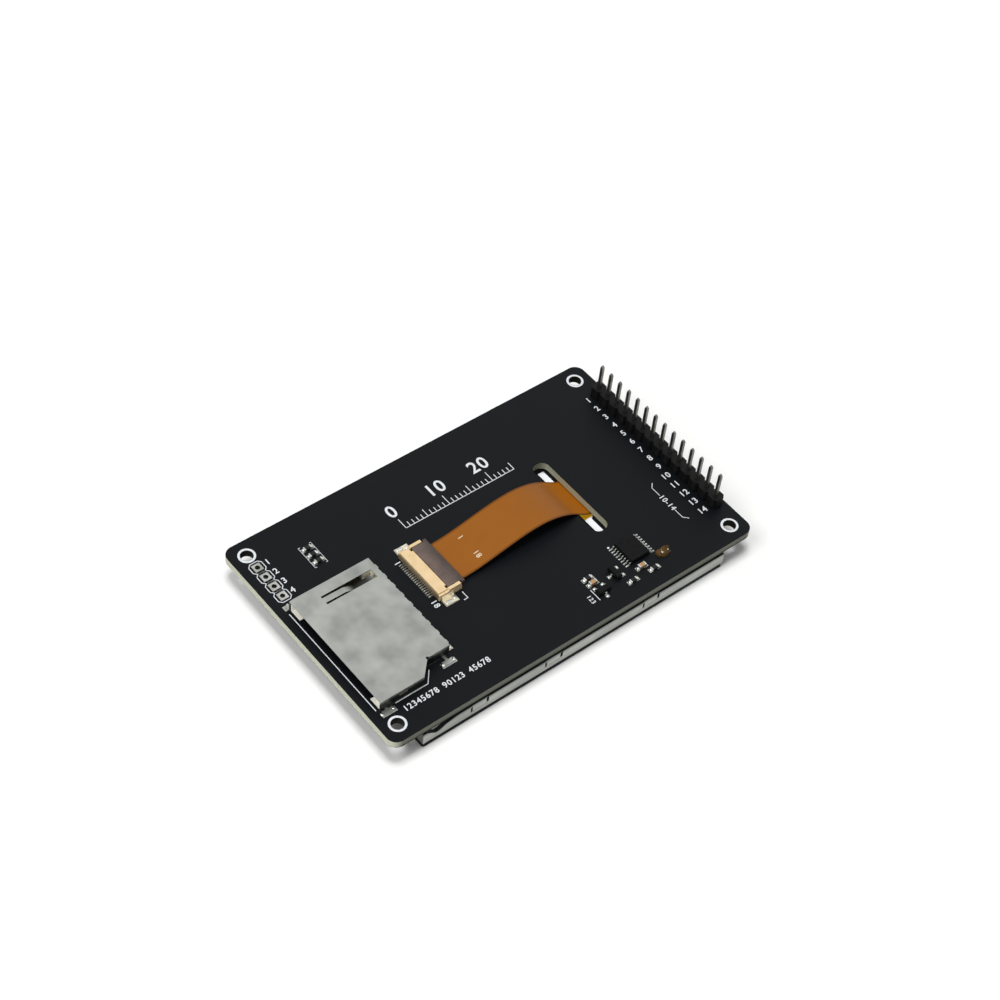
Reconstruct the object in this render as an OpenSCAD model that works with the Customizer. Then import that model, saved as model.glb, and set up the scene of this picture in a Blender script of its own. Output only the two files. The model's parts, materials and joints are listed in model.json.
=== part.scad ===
// TFT display module: a 2.8 inch touch display taped under a black circuit board, lying screen down.
// Origin: centre of the board, on the front face of the touch film. +Z leaves the back of the board,
// +X points to the 14 pin header, -X to the mouth of the memory card socket.

/* [Board] */
// Length of the board along X
board_l = 82.5; // [80:0.5:90]
// Width of the board along Y
board_w = 50.5; // [50.2:0.1:56]
// Thickness of the board
board_t = 1.6; // [1.2:0.1:2]
// Radius of the board's corners
board_r = 2; // [1:0.1:2.5]
// Distance from a mounting hole's centre to the board's edges
hole_inset = 3.25; // [3:0.05:4]
// Diameter of the mounting holes
mount_hole_d = 2.4; // [2:0.1:2.6]
// Thickness of the tinned copper pads
pad_t = 0.04; // [0.03:0.01:0.08]

/* [Flex slot] */
// Distance from the board's centre to the slot's near edge
slot_x = 16.5; // [16:0.1:17]
// Width of the slot along X
slot_w = 3.4; // [3.2:0.1:3.8]
// Length of the slot along Y
slot_l = 19.2; // [17:0.2:22]

/* [Pin header] */
// Number of pins
pin_count = 14; // [8:1:14]
// Distance from pin to pin
pitch = 2.54; // [2:0.01:2.54]
// Distance from the pin row to the board's edge
row_inset = 2.15; // [1.6:0.05:2.4]
// Width of the plastic strip
strip_w = 2.5; // [2.2:0.05:2.54]
// Height of the plastic strip
strip_h = 2.5; // [2:0.1:3]
// Chamfer at the corners of each strip cell
strip_cham = 0.5; // [0.3:0.05:0.6]
// Width of a square pin
pin_w = 0.64; // [0.5:0.02:0.66]
// Height of the pin tips over the board
pin_above = 8.2; // [7:0.1:9]
// Reach of the pins below the board
pin_below = 1.4; // [1:0.1:2]
// Length of the taper at both pin ends
pin_taper = 0.5; // [0.3:0.05:0.7]
// Diameter of the pin holes in the board
pin_drill = 1.02; // [1:0.02:1.1]
// Height of the solder fillets under the board
fillet_h = 0.8; // [0.5:0.05:0.9]
// Radius of the solder fillets where they meet the board
fillet_r = 0.85; // [0.7:0.05:0.95]

/* [Card header holes] */
// Number of free header holes beside the card socket
side_count = 4; // [2:1:4]
// Distance from the free holes to the board's edge
side_inset = 3.25; // [3:0.05:3.6]
// Place of the row's centre along Y
side_y = 14.9; // [14.6:0.05:15.2]
// Diameter of the free holes
side_drill = 1; // [0.8:0.05:1.1]
// Width of the square pads round the free holes
side_pad = 1.7; // [1.5:0.05:1.9]

/* [Card socket] */
// Distance from the socket's mouth to the board's edge
card_inset = 2.25; // [1.8:0.05:2.6]
// Depth of the socket along X
card_l = 16.9; // [16.5:0.1:17.5]
// Place of the socket's upper side along Y
card_y = 7.8; // [7.6:0.1:8]
// Height of the socket over the board
card_h = 2.6; // [2.55:0.05:3]
// Thickness of the socket's sheet steel
steel_t = 0.2; // [0.15:0.01:0.25]
// Size of the step at the socket's rear corner
card_step = 2.9; // [1.8:0.1:3.2]
// Distance from the mouth to the step's chamfer
card_step_x = 9.2; // [8:0.1:10]
// Width of the slot for the memory card
card_slot_w = 24.2; // [24.1:0.05:24.4]
// Width of the base's plain rail beside the card
card_rail_w = 0.35; // [0.3:0.05:0.6]
// Width of the base's rail on the side of the lock slider
card_lock_w = 1.15; // [1:0.05:1.4]
// Gap between the base and the shell
card_fit = 0.05; // [0.03:0.01:0.08]
// Height of the socket's floor over the board
card_floor = 0.2; // [0.15:0.01:0.25]
// Depth to which a card goes in
card_depth = 14; // [13:0.1:14.4]
// Number of card contacts
card_contacts = 9; // [7:1:9]
// Distance from card contact to card contact
card_pitch = 2.5; // [2.4:0.02:2.52]
// Width of a card contact
card_contact_w = 0.6; // [0.5:0.02:0.7]
// Thickness of the contact springs
spring_t = 0.15; // [0.1:0.01:0.18]
// Reach of the contact springs into the card's space
spring_l = 4.5; // [4:0.1:5]
// Length of a switch spring on the side rail
switch_l = 3.4; // [3:0.1:4]
// Distance from the mouth to the first switch spring
switch_x = 4.2; // [3.5:0.1:5]
// Length of the leaf cut into the socket's top
leaf_l = 10.3; // [9:0.1:11]
// Width of the leaf
leaf_w = 1.15; // [1:0.05:1.8]
// Width of the cut round the leaf
leaf_cut = 0.42; // [0.2:0.02:0.44]
// Drop of the leaf under the socket's top
leaf_drop = 1.1; // [0.6:0.05:1.3]
// Diameter of the locating pegs
peg_d = 1.2; // [1:0.05:1.4]
// Gap round the locating pegs
peg_gap = 0.05; // [0.03:0.01:0.1]

/* [Flex connector] */
// Place of the connector's back face along X
con_x = -16.4; // [-17:0.1:-16]
// Place of the connector's centre along Y
con_y = 0.45; // [0.2:0.05:0.6]
// Length of the connector's housing along Y
con_l = 12; // [11.8:0.05:12.4]
// Depth of the closed back block along X
con_block = 2.25; // [2.2:0.05:2.4]
// Depth of the housing with its ears
con_depth = 5; // [4.8:0.05:5.2]
// Height of the closed lever
con_h = 1.9; // [1.85:0.01:2]
// Height of the back block
block_h = 1.7; // [1.66:0.01:1.8]
// Height of the steps at both ends of the block
end_h = 1.35; // [1.2:0.05:1.5]
// Width of the steps at both ends of the block
end_w = 0.45; // [0.4:0.05:0.55]
// Thickness of the ears that hold the lever
ear_t = 0.6; // [0.55:0.01:0.65]
// Number of contacts
con_count = 18; // [12:1:18]
// Distance from contact to contact
con_pitch = 0.5; // [0.4:0.01:0.5]
// Width of a contact
con_contact_w = 0.2; // [0.16:0.01:0.22]
// Length of the contact tails behind the housing
con_tail = 0.95; // [0.7:0.05:1.1]
// Height of the housing's floor under the flex
con_floor = 0.6; // [0.58:0.01:0.62]
// Radius of the lever's stub shafts
stub_r = 0.22; // [0.18:0.01:0.24]
// Length of the lever's stub shafts
stub_l = 0.35; // [0.25:0.01:0.4]
// Running gap round the stub shafts
stub_gap = 0.04; // [0.02:0.01:0.06]
// Gap between the lever and the housing
lever_gap = 0.08; // [0.06:0.01:0.12]
// Length of the lip in front of the ears
lip_l = 0.76; // [0.5:0.02:0.84]
// Inset of the lip's ends from the housing's ends
lip_inset = 0.25; // [0.1:0.05:0.4]
// Width of the feet of the hold-down tabs
tab_foot = 1.5; // [1.4:0.05:1.9]

/* [Display flex] */
// Thickness of the flex
flex_t = 0.12; // [0.1:0.01:0.14]
// Width of the flex tail
flex_w = 9.5; // [9.3:0.05:9.6]
// Width of the flex where it is bonded to the glass
flex_root_w = 22; // [20:0.5:23]
// Height of the flex arch over the board
arch_h = 3.3; // [2.8:0.1:4]
// Place of the top of the arch along X
arch_x = 7.2; // [6:0.1:8]
// Slope of the flex as it dips into the slot
dip_slope = -0.74; // [-0.8:0.01:-0.7]
// Thickness of the stiffener on the inserted end
stiff_t = 0.16; // [0.12:0.01:0.18]

/* [Display] */
// Length of the display along X
lcd_l = 69.2; // [68.8:0.1:69.8]
// Width of the display along Y
lcd_w = 50; // [49.6:0.1:50.2]
// Width of the steel frame's rim at the card socket's end
rim_near = 2; // [1.6:0.1:2.4]
// Width of the steel frame's rim at the header's end
rim_far = 6.6; // [6:0.1:7.4]
// Width of the steel frame's rim along the long sides
rim_side = 2; // [1.6:0.1:2.4]
// Thickness of the frame's sheet steel
sheet_t = 0.2; // [0.15:0.01:0.25]
// Gap between parts that are laid in the frame
fit_gap = 0.06; // [0.04:0.01:0.1]
// Wall of the backlight's plastic frame beside the glass
frame_wall = 0.65; // [0.5:0.05:0.8]
// Width of the shelf that carries the glass
shelf_w = 1.1; // [0.9:0.05:1.3]
// Thickness of each glass plate
glass_t = 0.4; // [0.3:0.02:0.45]
// Length of the glass ledge that holds the driver chip
ledge_l = 3.3; // [3:0.1:3.6]
// Thickness of a polariser
pol_t = 0.18; // [0.15:0.01:0.2]
// Thickness of one optical film
optic_t = 0.09; // [0.07:0.01:0.12]
// Thickness of the light guide
guide_t = 0.85; // [0.7:0.05:1]
// Thickness of the reflector film
reflector_t = 0.12; // [0.1:0.01:0.15]
// Number of backlight LEDs
led_count = 4; // [3:1:6]
// Length of a backlight LED
led_l = 3.8; // [3:0.1:4]
// Lap of the LED flex over the light guide
led_lap = 1.1; // [0.8:0.1:1.4]
// Length of the driver chip
driver_l = 16; // [14:0.5:18]
// Width of the driver chip
driver_w = 0.9; // [0.7:0.05:1.1]
// Height of the driver chip
driver_h = 0.3; // [0.25:0.01:0.35]

/* [Touch panel] */
// Thickness of the touch film
film_t = 0.2; // [0.15:0.01:0.25]
// Thickness of the spacer frame behind the film
spacer_t = 0.08; // [0.06:0.01:0.1]
// Thickness of the touch glass
tglass_t = 0.7; // [0.55:0.05:1.1]
// Thickness of the tape between touch glass and display
tape_t = 0.12; // [0.1:0.01:0.15]
// Distance from the display's edge to the touch panel's edge
touch_inset = 0.3; // [0.2:0.05:0.5]
// Width of the touch panel's flex
touch_flex_w = 6; // [4:0.5:8]
// Length of the touch flex's end between film and glass
touch_bond_l = 1.9; // [1.6:0.1:2.2]
// Length of the touch flex's slope down to the display flex
touch_slope_l = 1.4; // [1.2:0.1:2]
// Length of the touch flex's soldered end
touch_joint_l = 2.6; // [2:0.1:3]

/* [Foam tape] */
// Thickness of the foam tape between display and board
foam_t = 1.2; // [1:0.05:1.5]
// Distance from the display's edge to the foam's edge
foam_inset = 0.5; // [0.3:0.05:1]

/* [Small parts] */
// Length of a chip part
chip_l = 1.6; // [1.5:0.05:1.7]
// Width of a chip part
chip_w = 0.8; // [0.7:0.05:0.85]
// Height of a chip resistor
res_h = 0.45; // [0.35:0.05:0.55]
// Height of a chip capacitor
cap_h = 0.8; // [0.6:0.05:0.9]
// Length of a chip part's terminals
term_l = 0.32; // [0.2:0.02:0.4]
// Length of the touch controller's body
ic_l = 5; // [4.9:0.05:5.2]
// Width of the touch controller's body
ic_w = 4.4; // [4.3:0.05:4.5]
// Height of the moulded bodies over the board
ic_h = 1.05; // [0.95:0.05:1.1]
// Leads on each side of the touch controller
ic_leads = 8; // [6:1:8]
// Distance from lead to lead
ic_pitch = 0.65; // [0.6:0.01:0.65]
// Reach of the gull wing leads beyond the body
lead_reach = 1; // [0.9:0.05:1.1]
// Thickness of the leads
lead_t = 0.13; // [0.1:0.01:0.16]

/* [Hidden] */
$fn = 48;

// Levels, from the screen's front face up
z_spacer = film_t;
z_tglass = z_spacer + spacer_t;
z_tape = z_tglass + tglass_t;
z_lcd = z_tape + tape_t;
z_front_pol = z_lcd + sheet_t;
z_filter = z_front_pol + pol_t;
z_tft = z_filter + glass_t;
z_rear_pol = z_tft + glass_t;
z_films = z_rear_pol + pol_t;
z_guide = z_films + 3 * optic_t;
z_reflector = z_guide + guide_t;
z_back = z_reflector + reflector_t;
z_board = z_back + foam_t;
z_top = z_board + board_t;
z_pad = z_top + pad_t;

// Mounting holes
hole_pitch_x = board_l - 2 * hole_inset;
hole_pitch_y = board_w - 2 * hole_inset;

// Header rows
row_x = board_l / 2 - row_inset;
side_x = -board_l / 2 + side_inset;

// Card socket outline
card_x0 = -board_l / 2 + card_inset;
card_x1 = card_x0 + card_l;
card_w = card_slot_w + card_rail_w + card_lock_w + 2 * (steel_t + card_fit);
card_y0 = card_y - card_w;
slot_y1 = card_y - steel_t - card_fit - card_rail_w;
slot_y0 = slot_y1 - card_slot_w;
stop_x = card_x0 + card_depth;
contact_y0 = slot_y1 - 1.75;
peg_x = stop_x - 2.6;
peg_ys = [slot_y1 - peg_d / 2, contact_y0 - (card_contacts - 1.5) * card_pitch];
leaf_y = card_y - 3.3;
leaf_x1 = card_x1 - 1.6;
leaf_x0 = leaf_x1 - leaf_l;
tail_out = 1.2;
// Feet of the shell: X, side wall's Y, side, reach beyond the wall
foot_l = 2.2;
foot_w = 0.95;
neck_w = 0.55;
relief_d = 0.6;
hook_l = 0.2;
card_feet = [[card_x0 + 1.25, card_y0, -1, 1.2], [card_x1 - 1.15, card_y0 + card_step, -1, 1.85],
             [card_x0 + 0.9, card_y, 1, 1], [card_x1 - 1.4, card_y, 1, 1]];

// Flex connector
con_front = con_x + con_depth;
con_y0 = con_y - con_l / 2;
con_y1 = con_y + con_l / 2;
flex_lift = 0.02;
z_flex = z_top + con_floor + flex_lift;
z_flex_mid = z_flex + flex_t / 2;
con_slot_h = flex_t + stiff_t + 2 * flex_lift + 0.04;
pivot_drop = 0.42;
pivot_z = z_flex + flex_t + stiff_t + lever_gap + pivot_drop;
lever_r = z_top + con_h - 0.04 - pivot_z;
pivot_x = con_x + con_block + lever_r + lever_gap;
lever_l = con_front + lever_gap + lip_l - pivot_x;
lever_y0 = con_y0 + ear_t + lever_gap;
lever_y1 = con_y1 - ear_t - lever_gap;
flex_end_x = con_x + 1.15;
con_beam_t = 0.14;
tab_l = 2.6;
tab_x = con_x + 1.75;

// Display, laid out along X from the header end
lcd_x0 = -lcd_l / 2;
lcd_x1 = lcd_l / 2;
frame_in_l = lcd_l - 2 * sheet_t - 2 * fit_gap;
frame_in_w = lcd_w - 2 * sheet_t - 2 * fit_gap;
pocket_l = frame_in_l - 2 * frame_wall;
pocket_w = frame_in_w - 2 * frame_wall;
glass_l = pocket_l - 2 * fit_gap;
glass_w = pocket_w - 2 * fit_gap;
glass_x0 = -glass_l / 2;
glass_x1 = glass_l / 2;
well_l = pocket_l - 2 * shelf_w;
well_w = pocket_w - 2 * shelf_w;
led_d = 1;
led_h = 0.6;
guide_x1 = well_l / 2 - led_d - 3 * fit_gap;
guide_x0 = -well_l / 2 + fit_gap;
exit_w = flex_root_w + 2;
window_x0 = lcd_x0 + rim_near;
window_x1 = lcd_x1 - rim_far;
window_w = lcd_w - 2 * rim_side;
// Centres of the spring tongues in the steel frame's long sides
latch_xs = [lcd_x0 + 12.2, -lcd_l * 0.085, lcd_x1 - 17.75];
latch_l = 3.5;
nick_w = 0.45;
nick_h = 1.3;
nick_z = 0.65;
// Cut-back of the long sides by the corners at the socket's end, as X and depth below the back
notch = [[0.8, 0], [2.7, 1.4], [3.5, 1.4], [4.9, 0.7], [7.4, 0]];
notch_d = 1.3;
led_span = well_w - 3 * led_l;
led_x0 = guide_x1 + fit_gap;
touch_l = lcd_l - 2 * touch_inset;
touch_w = lcd_w - 2 * touch_inset;

// Path of the display flex: bond on the glass ledge, bend round the frame's end, run along its back
bond_x = glass_x1 - 1.6;
z_bond = z_tft - flex_t / 2;
wrap_x = lcd_x1 - 0.15;
z_rear = z_back + flex_t / 2 + 0.06;
wrap_r = (z_rear - z_bond) / 2;
// Knots of its free stretch from the frame's back to the connector: x, z and slope
flex_knots = [
    [slot_x + 7.2, z_rear, 0],
    [slot_x + 0.5, z_top - 0.15, dip_slope],
    [arch_x, z_top + arch_h, 0],
    [con_front + 1.2, z_flex_mid, 0]];

// Channels that the foam leaves free for the flex
channel_x = slot_x + 7;
foam_channel_w = exit_w + 0.6;

// Small parts: place and turn of each
ic_x = 19.1;
ic_y = -16.25;
sot_l = 2.9;
sot_w = 1.3;
transistor_spots = [[13, -18.6, 0], [8.75, -20.4, 90]];
transistor_feet = [[-1, 0], [1, -0.95], [1, 0.95]];
resistor_spots = [[-28.35, 17.2, 0], [-28.35, 15.5, 0], [-28.35, 13.8, 0],
                  [8.3, -16.7, 0], [14.8, -21.7, 0], [19.8, -21.7, 0]];
capacitor_spots = [[8.3, -18.05, 0], [18.1, -20.15, 0], [23.6, -19.9, 0]];

module blade(l, w, h, x, y, z) translate([x - l / 2, y - w / 2, z]) cube([l, w, h]);
module span(x0, x1, y0, y1, z0, z1) translate([x0, y0, z0]) cube([x1 - x0, y1 - y0, z1 - z0]);

// Flat plate with round corners, centred on the origin
module plate(l, w, h, r, z) {
    translate([0, 0, z]) linear_extrude(h) union() {
        square([l - 2 * r, w], center = true);
        square([l, w - 2 * r], center = true);
        for (sx = [-1, 1], sy = [-1, 1]) translate([sx * (l / 2 - r), sy * (w / 2 - r)]) circle(r);
    }
}

// Bent strip: the polyline's points in X and Z, thickened upwards by t and w wide along Y
module strip(points, t, w, y) {
    n = len(points);
    outline = concat(points, [for (i = [n - 1:-1:0]) [points[i][0], points[i][1] + t]]);
    translate([0, y + w / 2, 0]) rotate([90, 0, 0]) linear_extrude(w) polygon(outline);
}

function pin_y(i) = (i - (pin_count - 1) / 2) * pitch;
function side_hole_y(i) = side_y + (i - (side_count - 1) / 2) * pitch;
function card_contact_y(i) = contact_y0 - i * card_pitch;
function con_contact_y(i) = con_y + (i - (con_count - 1) / 2) * con_pitch;
function ic_lead_y(i) = ic_y + (i - (ic_leads - 1) / 2) * ic_pitch;
function tab_y(s) = con_y + s * (con_l / 2 + tab_foot / 2 + 0.15);

// ---- Board ----

module board() {
    color("#202428") difference() {
        plate(board_l, board_w, board_t, board_r, z_board);
        for (sx = [-1, 1], sy = [-1, 1])
            translate([sx * hole_pitch_x / 2, sy * hole_pitch_y / 2, z_board - 1])
                cylinder(d = mount_hole_d, h = board_t + 2);
        for (i = [0:pin_count - 1]) translate([row_x, pin_y(i), z_board - 1])
            cylinder(d = pin_drill, h = board_t + 2, $fn = 24);
        for (i = [0:side_count - 1]) translate([side_x, side_hole_y(i), z_board - 1])
            cylinder(d = side_drill, h = board_t + 2, $fn = 24);
        for (y = peg_ys) translate([peg_x, y, z_board - 1])
            cylinder(d = peg_d + 2 * peg_gap, h = board_t + 2, $fn = 24);
        flex_slot();
    }
}

// Slot with round corners that lets the flex through
module flex_slot() {
    corner = slot_w * 0.45;
    translate([slot_x + slot_w / 2, 0, 0]) plate(slot_w, slot_l, board_t + 2, corner, z_board - 1);
}

module land(x, y, l, w) blade(l, w, pad_t, x, y, z_top);

// Tinned copper lands under the leads and round the free holes
module tinned_pads() {
    color("#c9cbc8") {
        for (i = [0:side_count - 1]) translate([side_x, side_hole_y(i), z_top]) difference() {
            translate([-side_pad / 2, -side_pad / 2, 0]) cube([side_pad, side_pad, pad_t]);
            translate([0, 0, -1]) cylinder(d = side_drill, h = 2, $fn = 24);
        }
        for (i = [0:card_contacts - 1])
            land(card_x1 + tail_out / 2, card_contact_y(i), tail_out + 0.4, card_contact_w + 0.3);
        for (f = card_feet) land(f[0], f[1] + f[2] * (f[3] - 0.35), foot_l + 0.8, 1.1);
        for (i = [0:con_count - 1])
            land(con_x - con_tail / 2 - 0.1, con_contact_y(i), con_tail, con_contact_w + 0.08);
        for (s = [-1, 1]) land(tab_x, tab_y(s), tab_l + 0.3, tab_foot + 0.2);
        for (s = [-1, 1], i = [0:ic_leads - 1])
            land(ic_x + s * (ic_w / 2 + lead_reach - 0.25), ic_lead_y(i), 0.9, 0.32);
        for (t = transistor_spots) for (l = transistor_feet)
            translate([t[0], t[1], 0]) rotate(t[2]) land(l[0] * (sot_w / 2 + 0.45), l[1], 0.9, 0.7);
        for (c = concat(resistor_spots, capacitor_spots)) for (s = [-1, 1])
            translate([c[0], c[1], 0]) rotate(c[2]) land(s * chip_l / 2, 0, 0.95, chip_w + 0.1);
    }
}

// ---- Pin header ----

// One cell of the strip: a block with chamfered corners round its pin
module strip_cell(y) {
    a = strip_w / 2;
    b = pitch / 2;
    c = strip_cham;
    translate([row_x, y, z_top]) linear_extrude(strip_h)
        polygon([[-a, -b + c], [-a + c, -b], [a - c, -b], [a, -b + c],
                 [a, b - c], [a - c, b], [-a + c, b], [-a, b - c]]);
}

module header_strip() {
    color("#141416") difference() {
        union() for (i = [0:pin_count - 1]) strip_cell(pin_y(i));
        for (i = [0:pin_count - 1]) blade(pin_w, pin_w, strip_h + 2, row_x, pin_y(i), z_top - 1);
        // Standoff channel under the strip keeps flux away from the joints
        blade(0.9, pin_count * pitch + 2, 0.25, row_x, 0, z_top);
    }
}

module header_pins() {
    shaft_z = z_board - pin_below + pin_taper;
    shaft_h = board_t + pin_below + pin_above - 2 * pin_taper;
    color("#6d6d68") for (i = [0:pin_count - 1]) {
        blade(pin_w, pin_w, shaft_h, row_x, pin_y(i), shaft_z);
        translate([row_x, pin_y(i), shaft_z + shaft_h])
            linear_extrude(pin_taper, scale = 0.5) square(pin_w, center = true);
        translate([row_x, pin_y(i), shaft_z]) mirror([0, 0, 1])
            linear_extrude(pin_taper, scale = 0.5) square(pin_w, center = true);
    }
}

// Solder fillets between the pins and the board's screen side
module header_solder() {
    color("#b9bbb8") for (i = [0:pin_count - 1]) difference() {
        translate([row_x, pin_y(i), z_board]) mirror([0, 0, 1])
            cylinder(r1 = fillet_r, r2 = pin_w * 0.78, h = fillet_h, $fn = 24);
        blade(pin_w, pin_w, 4, row_x, pin_y(i), z_board - 2);
    }
}

// ---- Card socket ----

// Plan of the socket, drawn in by d on all sides
function socket_plan(d) = [
    [card_x0 + d, card_y0 + d],
    [card_x0 + card_step_x - d * (sqrt(2) - 1), card_y0 + d],
    [card_x0 + card_step_x + card_step - d * (sqrt(2) - 1), card_y0 + card_step + d],
    [card_x1 - d, card_y0 + card_step + d],
    [card_x1 - d, card_y - d],
    [card_x0 + d, card_y - d]];

module socket_block(d, z0, z1) translate([0, 0, z0]) linear_extrude(z1 - z0) polygon(socket_plan(d));

module card_shell() {
    top_in = z_top + card_h - steel_t;
    color("#a9aca8") {
        difference() {
            union() {
                socket_block(0, z_pad, z_top + card_h);
                // Feet: a neck from the wall, and a wider end on the land
                for (f = card_feet) {
                    blade(neck_w, f[3], steel_t, f[0], f[1] + f[2] * f[3] / 2, z_pad);
                    blade(foot_l, foot_w, steel_t, f[0], f[1] + f[2] * (f[3] - foot_w / 2), z_pad);
                }
                // Tabs that hook over the base's back edge
                for (i = [0:card_contacts - 1]) translate([card_x1, card_contact_y(i), top_in])
                    linear_extrude(steel_t) polygon([[-0.2, -0.6], [0, -0.6], [hook_l, -0.6 + hook_l],
                        [hook_l, 0.6 - hook_l], [0, 0.6], [-0.2, 0.6]]);
            }
            socket_block(steel_t, z_top - 1, top_in);
            // Open mouth
            span(card_x0 - 1, card_x0 + 1, card_y0 + steel_t, card_y - steel_t, z_top - 1, top_in);
            // Open back under the hooked tabs
            span(card_x1 - steel_t - 0.1, card_x1 + 1, card_y0 + card_step + steel_t, card_y - steel_t,
                 z_top - 1, top_in);
            // Eased edge over the mouth
            translate([card_x0, card_y + 1, z_top + card_h]) rotate([90, 0, 0]) linear_extrude(card_w + 2)
                polygon([[-1, 1], [-1, -steel_t * 0.6], [0, -steel_t * 0.6], [0.7, 0], [0.7, 1]]);
            // U-shaped cut that frees the leaf
            span(leaf_x0, leaf_x1 + leaf_cut, leaf_y - leaf_w / 2 - leaf_cut, leaf_y + leaf_w / 2 + leaf_cut,
                 top_in - 1, top_in + 1);
            // Relief notch where the top bends two ways at the step
            translate([card_x0 + card_step_x + card_step, card_y0 + card_step, top_in - relief_d])
                cylinder(d = relief_d, h = 3, $fn = 20);
            // Side windows that catch the base's snaps
            for (y = [card_y0, card_y]) span(card_x0 + 4, card_x0 + 6, y - 1, y + 1, z_top + 1, z_top + 1.8);
        }
        card_leaf(top_in);
    }
}

// Leaf that presses on the card: level at its root, then bent down to a foot with a turned up tip
module card_leaf(top_in) {
    strip([[leaf_x0 - 0.05, top_in], [leaf_x0 + leaf_l * 0.42, top_in - leaf_drop * 0.1],
           [leaf_x0 + leaf_l * 0.66, top_in - leaf_drop], [leaf_x0 + leaf_l * 0.78, top_in - leaf_drop],
           [leaf_x1 - 0.1, top_in - leaf_drop * 0.55]],
          steel_t, leaf_w, leaf_y);
}

module card_base() {
    base_top = z_top + card_h - steel_t - card_fit;
    inset = steel_t + card_fit;
    color("#e6e2d2") difference() {
        union() {
            socket_block(inset, z_top, base_top);
            for (y = peg_ys) translate([peg_x, y, z_board + 0.3])
                cylinder(d = peg_d, h = board_t - 0.3 + card_floor / 2, $fn = 24);
        }
        // Space for the card
        span(card_x0 - 1, stop_x, slot_y0, slot_y1, z_top + card_floor, base_top + 1);
        // Open floor towards the mouth
        span(card_x0 + 2, stop_x - 4.6, slot_y0 + 1, slot_y1 - 1, z_top - 1, z_top + card_h);
        span(card_x0 - 1, card_x0 + 3, slot_y0 + 1.6, slot_y1 - 2.3, z_top - 1, z_top + card_h);
        // Slots for the contact springs, open at the back for their tails
        for (i = [0:card_contacts - 1]) {
            blade(8, card_contact_w + 0.3, 0.9, stop_x - 4 + 0.6, card_contact_y(i), z_top - 0.5);
            blade(8, card_contact_w + 0.3, 0.8, card_x1 - 1, card_contact_y(i), z_top - 0.5);
        }
        // Relief under the tip of the shell's leaf
        span(stop_x - 1, leaf_x1 + leaf_cut, leaf_y - leaf_w / 2 - leaf_cut, leaf_y + leaf_w / 2 + leaf_cut,
             z_top + card_h - steel_t - leaf_drop - 0.1, z_top + card_h);
        // Lightening pockets in the back block
        for (i = [0:card_contacts - 2])
            blade(card_x1 - stop_x - 1.6, card_pitch - 1.5, 2, (stop_x + card_x1) / 2,
                  card_contact_y(i) - card_pitch / 2, base_top - 1.2);
    }
}

module card_contacts_row() {
    heel = stop_x + 0.6;
    color("#d7b75e") for (i = [0:card_contacts - 1])
        strip([[stop_x - spring_l, z_pad + 0.3], [stop_x - spring_l * 0.87, z_pad + 0.42],
               [stop_x - spring_l * 0.73, z_pad + 0.3], [stop_x - spring_l * 0.11, z_pad],
               [heel, z_pad], [card_x1 + tail_out, z_pad]],
              spring_t, card_contact_w, card_contact_y(i));
}

// Two leaf springs on the socket's side wall that sense the card and its lock slider
module card_switch_springs() {
    a = switch_l * 0.4;
    b = switch_l * 0.76;
    t = spring_t;
    color("#d7b75e") for (i = [0, 1])
        translate([card_x0 + switch_x + i * switch_l * 1.5, slot_y1, z_top + card_floor + 0.4])
            linear_extrude(1) polygon([[0, 0], [0, -t], [a, -t], [b, -t - 0.5], [switch_l, -t - 0.1],
                     [switch_l, -0.1], [b, -0.5], [a, 0]]);
}

// ---- Flex connector ----

module flex_housing() {
    color("#ecd6a4") difference() {
        union() {
            span(con_x, con_x + con_block, con_y0 + end_w, con_y1 - end_w, z_top, z_top + block_h);
            span(con_x, con_x + con_block, con_y0, con_y1, z_top, z_top + end_h);
            span(con_x, con_front - 0.2, con_y0, con_y1, z_top, z_top + con_floor);
            // Ears with sloped noses
            for (y = [con_y0, con_y1 - ear_t]) translate([con_x + con_block, y + ear_t, z_top])
                rotate([90, 0, 0]) linear_extrude(ear_t) polygon([[-0.2, 0], [con_depth - con_block, 0],
                    [con_depth - con_block, con_h * 0.45], [con_depth - con_block - 0.3, con_h - 0.1],
                    [0, con_h - 0.1], [-0.2, end_h]]);
        }
        // Pocket for the inserted flex
        span(flex_end_x - 0.1, con_front + 1, con_y - flex_w / 2 - 0.1, con_y + flex_w / 2 + 0.1,
             z_top + con_floor, z_top + con_floor + con_slot_h);
        // Recess at both ends of the block behind the lever
        for (y = [con_y0 + ear_t, con_y1 - ear_t - 0.7])
            span(con_x + con_block - 0.4, con_x + con_block + 0.1, y, y + 0.7, pivot_z - 0.3, z_top + con_h);
        for (i = [0:con_count - 1]) contact_cavity(con_contact_y(i));
        // Bearings for the lever's stub shafts
        for (y = [con_y0 + ear_t - stub_l - lever_gap, con_y1 - ear_t - 0.5]) translate([pivot_x, y, pivot_z])
            rotate([-90, 0, 0]) cylinder(r = stub_r + stub_gap, h = stub_l + lever_gap + 0.5, $fn = 32);
    }
}

// Comb slot for one contact: lower beam, riser and upper arm
module contact_cavity(y) {
    w = con_contact_w + 0.06;
    span(con_x - 1, con_x + 0.9, y - w / 2, y + w / 2, z_top - 1, z_top + pad_t + con_beam_t + 0.03);
    span(con_x + 0.2, con_front - 0.6, y - w / 2, y + w / 2, z_top + 0.22, z_top + con_floor + 0.01);
    span(con_x + 0.3, con_x + 0.95, y - w / 2, y + w / 2, z_top + 0.1, pivot_z + 0.14);
    span(con_x + 0.3, con_x + con_block + 1, y - w / 2, y + w / 2, pivot_z - 0.14, pivot_z + 0.14);
}

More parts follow.
